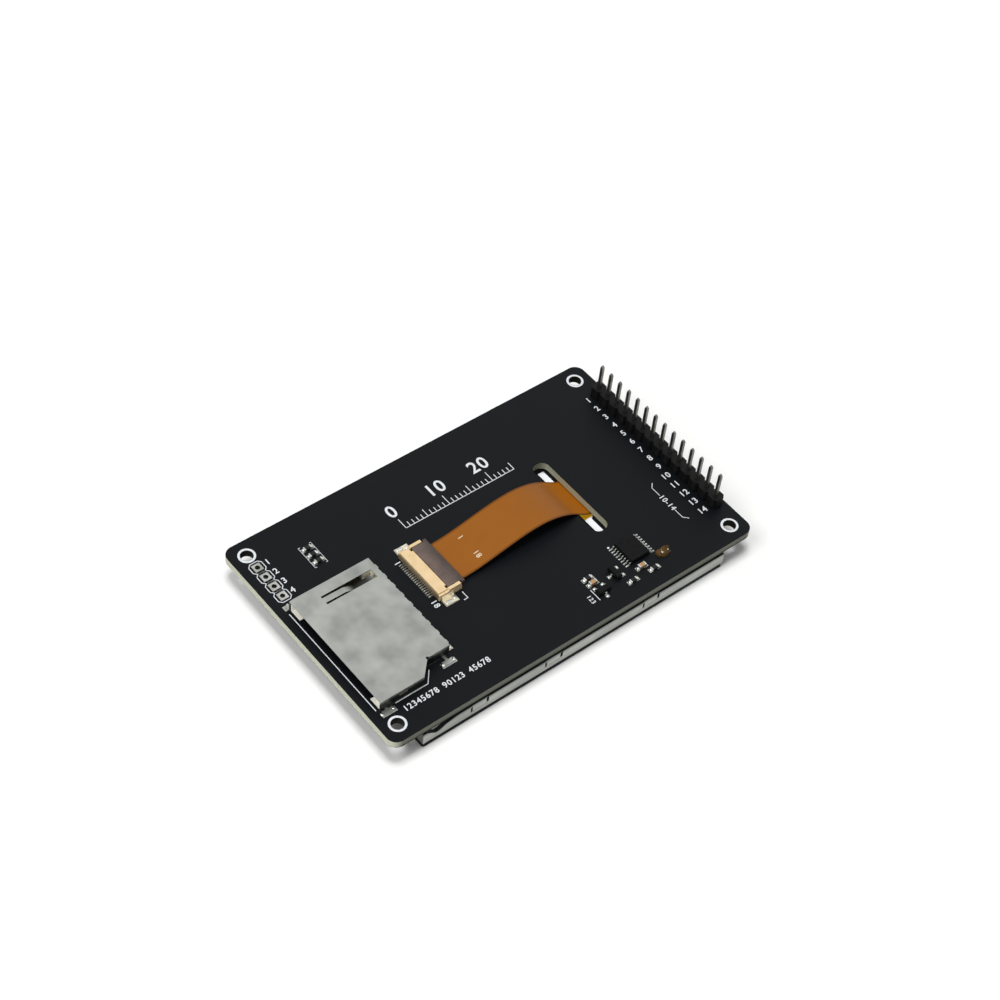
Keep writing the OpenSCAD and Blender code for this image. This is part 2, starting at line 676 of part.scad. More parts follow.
// C-shaped contacts: the tail is soldered, the lower beam touches the flex, the upper arm backs the lever
module flex_contacts() {
    arm_end = con_x + con_block - 0.02;
    color("#c9c9c2") for (i = [0:con_count - 1])
        translate([0, con_contact_y(i) + con_contact_w / 2, 0]) rotate([90, 0, 0])
            linear_extrude(con_contact_w) polygon([
                     [con_x - con_tail, z_pad], [con_x + 0.62, z_pad], [con_x + 0.78, z_top + 0.24],
                     [con_front - 0.7, z_top + 0.24], [con_front - 0.7, z_top + 0.38],
                     [con_front - 1, z_top + con_floor], [con_front - 1.2, z_top + con_floor],
                     [con_front - 1.4, z_top + 0.38], [con_x + 0.86, z_top + 0.38],
                     [con_x + 0.86, pivot_z - 0.1], [arm_end, pivot_z - 0.1], [arm_end, pivot_z + 0.1],
                     [con_x + 0.4, pivot_z + 0.1], [con_x + 0.4, z_pad + con_beam_t],
                     [con_x - con_tail, z_pad + con_beam_t]]);
}

// Tinned steel tabs that hold the housing's ends down on the board
module flex_hold_downs() {
    leg_w = 0.15;
    color("#c4c6c1") for (s = [-1, 1]) {
        y_in = con_y + s * con_l / 2;
        difference() {
            span(tab_x - tab_l / 2, tab_x + tab_l / 2, min(y_in, y_in + s * (tab_foot + 0.15)),
                 max(y_in, y_in + s * (tab_foot + 0.15)), z_pad, z_pad + 0.9);
            // What is left is an L: a leg against the ear and a foot on the board
            span(tab_x - tab_l, tab_x + tab_l, min(y_in + s * leg_w, y_in + s * 3),
                 max(y_in + s * leg_w, y_in + s * 3), z_pad + 0.15, z_pad + 2);
            // Notch in the foot lets solder rise
            blade(0.7, 0.6, 1, tab_x + tab_l / 2 - 0.35, y_in + s * 0.55, z_pad - 0.1);
        }
    }
}

// Section of the lever about its shaft: a round heel, a flat back with one step, and a sloped front
module lever_section() {
    r = lever_r;
    l = lever_l;
    polygon(concat([for (a = [90:15:240]) r * [cos(a), sin(a)]],
        [[0, -pivot_drop], [l - 0.15, -pivot_drop], [l, -pivot_drop + 0.18], [l, r - 0.3],
         [l - 0.2, r - 0.12], [1.1, r - 0.12], [1, r]]));
}

module flex_lever() {
    color("#6f655e") {
        // Flap between the ears
        translate([pivot_x, lever_y1, pivot_z]) rotate([90, 0, 0]) linear_extrude(lever_y1 - lever_y0)
            lever_section();
        // Lip in front of the ears
        difference() {
            translate([pivot_x, con_y1 - lip_inset, pivot_z]) rotate([90, 0, 0])
                linear_extrude(con_l - 2 * lip_inset) lever_section();
            span(pivot_x - 2, con_front + lever_gap, con_y0 - 1, con_y1 + 1, z_top, z_top + 5);
        }
        // Stub shafts
        for (y = [lever_y0 - stub_l, lever_y1]) translate([pivot_x, y, pivot_z])
            rotate([-90, 0, 0]) cylinder(r = stub_r, h = stub_l, $fn = 32);
    }
}

// ---- Display flex ----

// Hermite curve between two knots
function knot_point(a, b, t) = let (d = b[0] - a[0])
    [a[0] + d * t,
     a[1] * (2 * t ^ 3 - 3 * t ^ 2 + 1) + b[1] * (3 * t ^ 2 - 2 * t ^ 3)
     + d * (a[2] * (t ^ 3 - 2 * t ^ 2 + t) + b[2] * (t ^ 3 - t ^ 2))];

// The whole centre line, as X and Z, from the glass ledge to the end in the connector
flex_line = concat(
    [[bond_x, z_bond]],
    [for (a = [-90:15:90]) [wrap_x + wrap_r * cos(a), z_bond + wrap_r + wrap_r * sin(a)]],
    [[slot_x + 10.5, z_rear], [slot_x + 8.6, z_rear]],
    [for (k = [0:len(flex_knots) - 2], i = [0:(k == 2 ? 13 : 9)])
        knot_point(flex_knots[k], flex_knots[k + 1], i / (k == 2 ? 14 : 10))],
    [[con_front + 1.2, z_flex_mid], [flex_end_x, z_flex_mid]]);

// Half width along the line: wide at the glass, then shoulders down to the tail
function flex_half(x, z) = x > slot_x + 10 ? flex_root_w / 2 : flex_w / 2;

// Unit normal of the line at point i
function line_normal(p, i) = let (a = p[max(i - 1, 0)], b = p[min(i + 1, len(p) - 1)], d = b - a, n = norm(d))
    [d[1] / n, -d[0] / n];

// Ribbon of thickness t that follows points in X and Z, with its own half width at each point
module ribbon(points, t, halves, y) {
    n = len(points);
    rings = [for (i = [0:n - 1]) let (m = line_normal(points, i) * t / 2, p = points[i], h = halves[i])
        [[p[0] - m[0], y - h, p[1] - m[1]], [p[0] + m[0], y - h, p[1] + m[1]],
         [p[0] + m[0], y + h, p[1] + m[1]], [p[0] - m[0], y + h, p[1] - m[1]]]];
    corners = [for (r = rings) for (c = r) c];
    sides = [for (i = [0:n - 2], k = [0:3])
        [4 * i + k, 4 * i + (k + 1) % 4, 4 * (i + 1) + (k + 1) % 4, 4 * (i + 1) + k]];
    polyhedron(corners, concat([[3, 2, 1, 0]], sides, [[for (k = [0:3]) 4 * (n - 1) + k]]), convexity = 6);
}

module display_flex() {
    color("#a5672b")
        ribbon(flex_line, flex_t, [for (p = flex_line) flex_half(p[0], p[1])], con_y);
}

// Stiffener on the inserted end of the flex, on the side away from the contacts
module flex_stiffener() {
    color("#d8a24a") span(flex_end_x, con_front - 0.2, con_y - flex_w / 2, con_y + flex_w / 2,
        z_flex + flex_t, z_flex + flex_t + stiff_t);
}

// ---- Small parts ----

// Moulded body with drafted sides, split at the leads
module moulded(w, l) {
    h = ic_h;
    lift = 0.1;
    draft = 0.12;
    mid = h * 0.5;
    translate([0, 0, z_top]) intersection() {
        translate([0, l / 2, 0]) rotate([90, 0, 0]) linear_extrude(l)
            polygon([[-w / 2 + draft, lift], [w / 2 - draft, lift], [w / 2, mid], [w / 2 - draft, h],
                     [-w / 2 + draft, h], [-w / 2, mid]]);
        translate([-w / 2, 0, 0]) rotate([90, 0, 90]) linear_extrude(w)
            polygon([[-l / 2 + draft, lift], [l / 2 - draft, lift], [l / 2, mid], [l / 2 - draft, h],
                     [-l / 2 + draft, h], [-l / 2, mid]]);
    }
}

// Gull wing lead that leaves a body's side at x0 and stands on its land
module gull_lead(x0, y, w, reach) {
    zc = z_top + ic_h * 0.5 - lead_t / 2;
    translate([0, y + w / 2, 0]) rotate([90, 0, 0]) linear_extrude(w)
        polygon([[x0, zc], [x0 + reach * 0.24, zc], [x0 + reach * 0.4, z_pad], [x0 + reach, z_pad],
                 [x0 + reach, z_pad + lead_t], [x0 + reach * 0.52, z_pad + lead_t],
                 [x0 + reach * 0.36, zc + lead_t], [x0, zc + lead_t]]);
}

module touch_controller() {
    color("#1b1b1d") difference() {
        translate([ic_x, ic_y, 0]) moulded(ic_w, ic_l);
        // Dimple beside lead 1
        translate([ic_x - ic_w / 2 + 0.8, ic_y + ic_l / 2 - 0.8, z_top + ic_h - 0.08])
            cylinder(r = 0.3, h = 1, $fn = 24);
    }
}

module controller_leads() {
    color("#c4c6c3") translate([ic_x, ic_y, 0]) for (s = [0, 180], i = [0:ic_leads - 1])
        rotate(s) gull_lead(ic_w / 2, (i - (ic_leads - 1) / 2) * ic_pitch, 0.22, lead_reach);
}

module transistors() {
    color("#1b1b1d") for (t = transistor_spots) translate([t[0], t[1], 0]) rotate(t[2]) moulded(sot_w, sot_l);
}

module transistor_leads() {
    color("#c4c6c3") for (t = transistor_spots, f = transistor_feet)
        translate([t[0], t[1], 0]) rotate(t[2] + (f[0] < 0 ? 180 : 0)) gull_lead(sot_w / 2, f[1], 0.4, 0.6);
}

module resistor_bodies() {
    color("#1d1d20") for (c = resistor_spots) translate([c[0], c[1], 0]) rotate(c[2])
        blade(chip_l - 2 * term_l, chip_w, res_h, 0, 0, z_pad);
}

module capacitor_bodies() {
    color("#a88660") for (c = capacitor_spots) translate([c[0], c[1], 0]) rotate(c[2])
        blade(chip_l - 2 * term_l, chip_w, cap_h, 0, 0, z_pad);
}

// Tinned ends of the chip parts
module chip_terminals() {
    color("#cfd0cd") {
        for (c = resistor_spots, s = [-1, 1]) translate([c[0], c[1], 0]) rotate(c[2])
            blade(term_l, chip_w + 0.04, res_h + 0.02, s * (chip_l - term_l) / 2, 0, z_pad);
        for (c = capacitor_spots, s = [-1, 1]) translate([c[0], c[1], 0]) rotate(c[2])
            blade(term_l, chip_w + 0.04, cap_h + 0.02, s * (chip_l - term_l) / 2, 0, z_pad);
    }
}

// ---- Foam tape ----

// Straight channel through the foam, in line with the flex
module lane(x0, x1, w) span(x0, x1, con_y - w / 2, con_y + w / 2, z_back - 1, z_board + 1);

module foam_tape() {
    color("#17181a") difference() {
        blade(lcd_l - 2 * foam_inset, lcd_w - 2 * foam_inset, foam_t, 0, 0, z_back);
        // Clear of the board's slot
        span(slot_x - 0.4, slot_x + slot_w, -slot_l / 2 - 0.3, slot_l / 2 + 0.3, z_back - 1, z_board + 1);
        // Channel for the flex tail, then for its wide root
        lane(slot_x, channel_x + 1, flex_w + 1);
        lane(channel_x, lcd_x1 + 1, foam_channel_w);
    }
}

// ---- Display ----

module steel_frame() {
    color("#b4b6b0") difference() {
        blade(lcd_l, lcd_w, z_back - z_lcd, 0, 0, z_lcd);
        blade(lcd_l - 2 * sheet_t, lcd_w - 2 * sheet_t, z_back, 0, 0, z_front_pol);
        // Window over the picture
        span(window_x0, window_x1, -window_w / 2, window_w / 2, z_lcd - 1, z_front_pol + 1);
        // Gap for the flex at the header end
        span(lcd_x1 - 1, lcd_x1 + 1, con_y - exit_w / 2, con_y + exit_w / 2, z_front_pol, z_back + 1);
        for (s = [-1, 1]) {
            // Spring tongues, pressed in a little between a nick at each end
            for (x = latch_xs) {
                blade(latch_l, 0.12, z_back, x, s * lcd_w / 2, z_front_pol + nick_z);
                for (e = [-1, 1]) blade(nick_w, 4, nick_h, x + e * latch_l / 2, s * lcd_w / 2,
                    z_front_pol + nick_z + (1 + e) * 0.15);
            }
            side_notch(s, 4);
        }
    }
}

// Cut-back in a long side by the corner at the socket's end, d deep
module side_notch(s, d) {
    last = notch[len(notch) - 1];
    outline = concat([[lcd_x0 + notch[0][0], z_back + 1]], [for (p = notch) [lcd_x0 + p[0], z_back - p[1]]],
        [[lcd_x0 + last[0], z_back + 1]]);
    translate([0, s * lcd_w / 2 + d / 2, 0]) rotate([90, 0, 0]) linear_extrude(d) polygon(outline);
}

// White frame that holds glass and light guide, hollowed behind the nicks and the cut-backs
module backlight_frame() {
    color("#eceeeb") {
        difference() {
            blade(frame_in_l, frame_in_w, z_back - z_front_pol, 0, 0, z_front_pol);
            for (s = [-1, 1]) {
                side_notch(s, 2 * notch_d);
                for (x = latch_xs, e = [-1, 1]) blade(nick_w + 0.3, 1.3, nick_h + 0.3,
                    x + e * latch_l / 2, s * lcd_w / 2, z_front_pol + nick_z + (1 + e) * 0.15 - 0.15);
            }
            // Pocket for the glass, and the well behind its shelf
            blade(pocket_l, pocket_w, z_rear_pol - z_lcd, 0, 0, z_lcd);
            blade(well_l, well_w, z_back, 0, 0, z_lcd);
            // Way out for the flex under the end bar
            span(glass_x1 - 1, lcd_x1 + 1, con_y - exit_w / 2, con_y + exit_w / 2, z_lcd, z_tft + 0.1);
            // Relief round the flex's bend
            span(lcd_x1 - 0.5, lcd_x1 + 1, con_y - exit_w / 2, con_y + exit_w / 2, z_lcd, z_back + 1);
        }
    }
}

module reflector() {
    color("#f2f3f1") span(guide_x0, guide_x1 - led_lap - 0.1, -well_w / 2 + fit_gap, well_w / 2 - fit_gap,
        z_reflector, z_back);
}

module light_guide() {
    color("#e3ecec") span(guide_x0, guide_x1, -well_w / 2 + fit_gap, well_w / 2 - fit_gap,
        z_guide, z_reflector);
}

module diffuser_film() {
    color("#eef0ee") span(guide_x0, guide_x1 - 0.2, -well_w / 2 + fit_gap, well_w / 2 - fit_gap,
        z_films + 2 * optic_t, z_guide);
}

module prism_films() {
    color("#e6eaea") for (i = [0, 1]) span(guide_x0 + 0.2 * i, guide_x1 - 0.2, -well_w / 2 + fit_gap,
        well_w / 2 - fit_gap, z_films + i * optic_t, z_films + (i + 1) * optic_t);
}

module led_flex() {
    color("#e8e2c8") span(guide_x1 - led_lap, well_l / 2 - fit_gap,
        -led_span / 2 - led_l, led_span / 2 + led_l, z_reflector, z_back);
}

module leds() {
    color("#f3e9a6") for (i = [0:led_count - 1])
        translate([led_x0, (i / (led_count - 1) - 0.5) * led_span, z_reflector - led_h]) difference() {
            blade(led_d, led_l, led_h, led_d / 2, 0, 0);
            // Phosphor pocket that faces the light guide
            blade(0.5, led_l - 0.8, led_h - 0.2, 0, 0, 0.1);
        }
}

module rear_polariser() {
    color("#33363a") span(guide_x0 + 0.1, guide_x1 - 0.2, -well_w / 2 + 2 * fit_gap, well_w / 2 - 2 * fit_gap,
        z_rear_pol, z_films);
}

module tft_glass() {
    color("#5f6d6a") span(glass_x0, glass_x1, -glass_w / 2, glass_w / 2, z_tft, z_rear_pol);
}

module filter_glass() {
    color("#3c4346") span(glass_x0, glass_x1 - ledge_l, -glass_w / 2, glass_w / 2, z_filter, z_tft);
}

module front_polariser() {
    color("#1c1f22") span(glass_x0 + 0.4, glass_x1 - ledge_l - 0.4, -glass_w / 2 + 0.4, glass_w / 2 - 0.4,
        z_front_pol, z_filter);
}

// Driver chip, bonded face down on the glass ledge
module driver_chip() {
    color("#2a2c30") blade(driver_w, driver_l, driver_h, glass_x1 - ledge_l + driver_w, con_y,
        z_tft - driver_h);
}

// ---- Touch panel ----

module touch_sheet(z, t, cut) plate(touch_l - 2 * cut, touch_w - 2 * cut, t, 0.4, z);

module panel_tape() {
    color("#1a1b1d") difference() {
        touch_sheet(z_tape, tape_t, 0);
        span(window_x0 - 0.4, window_x1 + 0.4, -window_w / 2 - 0.4, window_w / 2 + 0.4,
             z_tape - 1, z_tape + 1);
    }
}

module touch_glass() {
    color("#2d3335") touch_sheet(z_tglass, tglass_t, 0);
}

// Spacer frame between film and glass, open where the touch flex enters
module touch_spacer() {
    color("#101113") difference() {
        touch_sheet(z_spacer, spacer_t, 0);
        span(window_x0 + 0.3, window_x1 - 0.3, -window_w / 2 + 0.3, window_w / 2 - 0.3,
             z_spacer - 1, z_spacer + 1);
        blade(2 * touch_bond_l + 0.2, touch_flex_w + 0.2, 2, touch_l / 2, con_y, z_spacer - 1);
    }
}

module touch_film() {
    color("#17191b") touch_sheet(0, film_t, 0);
}

// Four track flex from the touch panel, outside the display flex's bend, soldered to that flex's back
module touch_flex() {
    t = spacer_t;
    z_in = z_spacer + t / 2;
    z_out = z_board - 0.5;
    r = (z_out - z_in) / 2;
    z_joint = z_rear + flex_t / 2 + t / 2;
    x_in = touch_l / 2 - touch_bond_l;
    line = concat([[x_in, z_in]],
        [for (a = [-90:15:90]) [lcd_x1 + 0.25 + r * cos(a), z_in + r + r * sin(a)]],
        [[x_in, z_out], [x_in - touch_slope_l, z_joint], [x_in - touch_slope_l - touch_joint_l, z_joint]]);
    color("#a5672b") ribbon(line, t, [for (p = line) touch_flex_w / 2], con_y);
}

board();
tinned_pads();
header_strip();
header_pins();
header_solder();
card_shell();
card_base();
card_contacts_row();
card_switch_springs();
flex_housing();
flex_contacts();
flex_hold_downs();
flex_lever();
display_flex();
flex_stiffener();
touch_controller();
controller_leads();
transistors();
transistor_leads();
resistor_bodies();
capacitor_bodies();
chip_terminals();
foam_tape();
steel_frame();
backlight_frame();
reflector();
light_guide();
diffuser_film();
prism_films();
led_flex();
leds();
rear_polariser();
tft_glass();
filter_glass();
front_polariser();
driver_chip();
panel_tape();
touch_glass();
touch_spacer();
touch_film();
touch_flex();
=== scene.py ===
import json
from math import pi, radians

import bmesh
import bpy
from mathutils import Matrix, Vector


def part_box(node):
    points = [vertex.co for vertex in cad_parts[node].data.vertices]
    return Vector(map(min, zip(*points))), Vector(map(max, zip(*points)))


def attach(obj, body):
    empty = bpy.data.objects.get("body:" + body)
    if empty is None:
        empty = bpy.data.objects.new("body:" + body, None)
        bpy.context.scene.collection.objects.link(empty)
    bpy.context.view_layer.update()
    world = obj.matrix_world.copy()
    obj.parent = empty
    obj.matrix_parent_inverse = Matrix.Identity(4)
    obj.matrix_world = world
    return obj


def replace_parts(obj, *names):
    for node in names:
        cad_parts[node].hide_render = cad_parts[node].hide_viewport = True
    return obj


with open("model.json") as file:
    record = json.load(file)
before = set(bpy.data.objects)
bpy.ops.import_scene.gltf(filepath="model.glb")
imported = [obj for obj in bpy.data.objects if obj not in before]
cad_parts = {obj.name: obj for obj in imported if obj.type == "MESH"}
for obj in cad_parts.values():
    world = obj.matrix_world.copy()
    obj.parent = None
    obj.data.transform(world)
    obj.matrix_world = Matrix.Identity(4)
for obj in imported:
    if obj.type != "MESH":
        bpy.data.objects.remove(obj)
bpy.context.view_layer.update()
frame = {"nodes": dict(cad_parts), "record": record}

# Lengths are given in mm and turned to metres by MM, where nothing else is said
MM = 0.001
MOUNTS = {mount["name"]: mount for mount in frame["record"]["mounts"]}


def mm_box(name):
    """Gives a CAD node's lowest and highest corner in mm."""
    return [[c / MM for c in corner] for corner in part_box(name)]


TOP = mm_box("board")[1][2]
SHELL_TOP = mm_box("card_shell")[1][2]
CAN_TOP = mm_box("steel_frame")[1][2]
# How far into the card socket's mouth the ivory keeps a painted glow and no painted shade
MOUTH_END = mm_box("card_base")[0][0] + 0.8


# ---- Camera, light and floor ----

def add_camera():
    """Looks down at the back of the board from the corner with the card socket."""
    lens = bpy.data.cameras.new("camera")
    lens.lens = 79.1
    lens.sensor_width = 36
    lens.clip_start = 10 * MM
    camera = bpy.data.objects.new("camera", lens)
    bpy.context.scene.collection.objects.link(camera)
    camera.location = (-0.177899, -0.181067, 0.307732)
    camera.rotation_euler = [radians(turn) for turn in (40.93547, -4.97380, -38.86990)]
    bpy.context.scene.camera = camera


def linear(hex_colour):
    """Turns an sRGB hex colour into the linear values that a socket takes."""
    parts = [int(hex_colour[i:i + 2], 16) / 255 for i in (1, 3, 5)]
    return [c / 12.92 if c < 0.04045 else ((c + 0.055) / 1.055) ** 2.4 for c in parts] + [1.0]


def node(tree, kind, settings=(), **sockets):
    """Adds a shader node, sets its settings, and fills or links its sockets.

    A socket is named by its name with _ for a space, or by its number after an n.
    """
    new = tree.nodes.new("ShaderNode" + kind)
    for name, value in dict(settings).items():
        setattr(new, name, value)
    for name, value in sockets.items():
        number = name[1:].isdigit() and name[0] == "n"
        socket = new.inputs[int(name[1:]) if number else name.replace("_", " ")]
        if isinstance(value, bpy.types.NodeSocket):
            tree.links.new(value, socket)
        else:
            socket.default_value = value
    return new


def white_to_camera(tree):
    """Gives 1 for the rays that see the background straight, in a gloss or through glass."""
    path = node(tree, "LightPath")
    seen = node(tree, "Math", {"operation": "MAXIMUM"},
                n0=path.outputs["Is Camera Ray"], n1=path.outputs["Is Glossy Ray"])
    return node(tree, "Math", {"operation": "MAXIMUM"},
                n0=seen.outputs[0], n1=path.outputs["Is Transmission Ray"]).outputs[0]


def add_world():
    """Fills the room with even light, and shows white where nothing stands."""
    room_level, white_level = 0.3, 1.0
    world = bpy.data.worlds.new("studio")
    bpy.context.scene.world = world
    world.use_nodes = True
    tree = world.node_tree
    back = tree.nodes["Background"]
    back.inputs["Color"].default_value = linear("#ffffff")
    level = node(tree, "Mix", {"data_type": "FLOAT"}, n0=white_to_camera(tree),
                 n2=room_level, n3=white_level)
    tree.links.new(level.outputs[0], back.inputs["Strength"])


def add_lamp(name, place, size, power, mirrored=True):
    """Hangs a square softbox at a place in metres, which faces the module and shows in metal or not."""
    light = bpy.data.lights.new(name, "AREA")
    light.size = size
    light.energy = power
    lamp = bpy.data.objects.new(name, light)
    bpy.context.scene.collection.objects.link(lamp)
    lamp.location = place
    lamp.visible_glossy = mirrored
    lamp.rotation_euler = (-Vector(place)).to_track_quat("-Z", "Y").to_euler()


def add_floor():
    """Lays a white table, which lights itself for the camera far from the module and hides the horizon."""
    near, near_glow = 70 * MM, 0.02
    far, far_glow = 500 * MM, 0.9
    contact = 0.05 * MM
    bpy.ops.mesh.primitive_plane_add(size=3)
    floor = bpy.context.object
    floor.name = "floor"
    # White table paper: matt, without a gloss of its own
    mat = bpy.data.materials.new("table_paper")
    mat.use_nodes = True
    tree = mat.node_tree
    skin = tree.nodes["Principled BSDF"]
    skin.inputs["Base Color"].default_value = linear("#f0f0ef")
    skin.inputs["Roughness"].default_value = 0.9
    skin.inputs["Specular IOR Level"].default_value = 0.1
    skin.inputs["Emission Color"].default_value = linear("#ffffff")
    reach = node(tree, "VectorMath", {"operation": "LENGTH"}, n0=node(tree, "TexCoord").outputs["Object"])
    level = node(tree, "MapRange", n0=reach.outputs["Value"], n1=near, n2=far, n3=near_glow, n4=far_glow)
    glow = node(tree, "Math", {"operation": "MULTIPLY"}, n0=white_to_camera(tree), n1=level.outputs[0])
    tree.links.new(glow.outputs[0], skin.inputs["Emission Strength"])
    # The table is clear from below, and for the screen that lies on it, so that the screen can be seen
    touching = node(tree, "Math", {"operation": "LESS_THAN"},
                    n0=node(tree, "LightPath").outputs["Ray Length"], n1=contact)
    clear = node(tree, "Math", {"operation": "MAXIMUM"},
                 n0=node(tree, "NewGeometry").outputs["Backfacing"], n1=touching.outputs[0])
    sides = node(tree, "MixShader", n0=clear.outputs[0],
                 n1=skin.outputs[0], n2=node(tree, "BsdfTransparent").outputs[0])
    tree.links.new(sides.outputs[0], tree.nodes["Material Output"].inputs["Surface"])
    floor.data.materials.append(mat)


# ---- Finishes ----

# A wave texture of scale s has a band every WAVE / s metres
WAVE = pi / 10


def blank(name, roughness, metallic=0.0):
    """Starts a material, and gives its tree, its surface and the object's own coordinates."""
    mat = bpy.data.materials.new(name)
    mat.use_nodes = True
    tree = mat.node_tree
    skin = tree.nodes["Principled BSDF"]
    skin.inputs["Roughness"].default_value = roughness
    skin.inputs["Metallic"].default_value = metallic
    return mat, tree, skin, node(tree, "TexCoord").outputs["Object"]


def speckled(name, light, dark, roughness, grain, depth, metallic=0.0, rough_swing=0.08, cloud=None,
             shine=0.5):
    """Makes a finish whose colour, gloss and height vary with a grain of one size.

    grain is the size of the grain in mm, depth its height in mm, cloud the size of wider stains, which
    are 12 grains wide where it isn't given, and shine the strength of the gloss on a plastic.
    """
    fine_share = 0.45
    darkest, lightest = 0.35, 0.65
    mat, tree, skin, place = blank(name, roughness, metallic)
    if not metallic:
        skin.inputs["Specular IOR Level"].default_value = shine
    fine = node(tree, "TexNoise", Vector=place, Scale=1 / (grain * MM), Detail=3.0, Roughness=0.6)
    wide = node(tree, "TexNoise", Vector=place, Scale=1 / ((cloud or 12 * grain) * MM), Detail=2.0)
    stains = node(tree, "Math", {"operation": "MULTIPLY"}, n0=wide.outputs["Fac"], n1=1 - fine_share)
    both = node(tree, "Math", {"operation": "MULTIPLY_ADD"},
                n0=fine.outputs["Fac"], n1=fine_share, n2=stains.outputs[0])
    share = node(tree, "MapRange", n0=both.outputs[0], n1=darkest, n2=lightest)
    tint = node(tree, "Mix", {"data_type": "RGBA"}, n0=share.outputs[0], n6=linear(dark), n7=linear(light))
    gloss = node(tree, "MapRange", n0=share.outputs[0], n3=roughness + rough_swing,
                 n4=roughness - rough_swing)
    bump = node(tree, "Bump", Strength=1.0, Distance=depth * MM, Height=fine.outputs["Fac"])
    tree.links.new(tint.outputs["Result"], skin.inputs["Base Color"])
    tree.links.new(gloss.outputs[0], skin.inputs["Roughness"])
    tree.links.new(bump.outputs[0], skin.inputs["Normal"])
    return mat


def shade(mat, axis, dark, light, share, **open_under):
    """Darkens a finish along one axis, where less of the room reaches it.

    The colour falls from full at the place light to a share of it at the place dark, both in mm. What
    lies under a place that open_under gives for an axis keeps its full colour.
    """
    tree = mat.node_tree
    tint = tree.nodes["Principled BSDF"].inputs["Base Color"]
    axes = node(tree, "SeparateXYZ", Vector=node(tree, "TexCoord").outputs["Object"])
    (first, first_share), (last, last_share) = sorted([(dark * MM, share), (light * MM, 1.0)])
    level = node(tree, "MapRange", {"interpolation_type": "SMOOTHSTEP"}, n0=axes.outputs[axis],
                 n1=first, n2=last, n3=first_share, n4=last_share)
    for side, end in open_under.items():
        outside = node(tree, "Math", {"operation": "LESS_THAN"}, n0=axes.outputs[side], n1=end * MM)
        level = node(tree, "Math", {"operation": "MAXIMUM"}, n0=level.outputs[0], n1=outside.outputs[0])
    shaded = node(tree, "Mix", {"data_type": "RGBA"}, n0=level.outputs[0],
                  n6=linear("#000000"), n7=tint.links[0].from_socket)
    tree.links.new(shaded.outputs["Result"], tint)
    return mat


def glowing(mat, level, end_x=100.0, colour="#ffffff"):
    """Paints light into a finish: it glows a little, though it is no lamp, up to end_x in mm."""
    tree = mat.node_tree
    skin = tree.nodes["Principled BSDF"]
    skin.inputs["Emission Color"].default_value = linear(colour)
    axes = node(tree, "SeparateXYZ", Vector=node(tree, "TexCoord").outputs["Object"])
    near = node(tree, "Math", {"operation": "LESS_THAN"}, n0=axes.outputs["X"], n1=end_x * MM)
    light = node(tree, "Math", {"operation": "MULTIPLY"}, n0=near.outputs[0], n1=level)
    tree.links.new(light.outputs[0], skin.inputs["Emission Strength"])
    return mat


def black_rim(mat, name, width):
    """Blackens a finish along the outside of a CAD node, in a rim of a width in mm."""
    tree = mat.node_tree
    tint = tree.nodes["Principled BSDF"].inputs["Base Color"]
    place = node(tree, "VectorMath", {"operation": "ABSOLUTE"}, n0=node(tree, "TexCoord").outputs["Object"])
    axes = node(tree, "SeparateXYZ", Vector=place.outputs[0])
    x1, y1, _ = mm_box(name)[1]
    beyond = [node(tree, "Math", {"operation": "GREATER_THAN"}, n0=axes.outputs[axis], n1=(end - width) * MM)
              for axis, end in (("X", x1), ("Y", y1))]
    rim = node(tree, "Math", {"operation": "MAXIMUM"}, n0=beyond[0].outputs[0], n1=beyond[1].outputs[0])
    sealed = node(tree, "Mix", {"data_type": "RGBA"}, n0=rim.outputs[0],
                  n6=tint.links[0].from_socket, n7=linear("#060606"))
    tree.links.new(sealed.outputs["Result"], tint)
    return mat


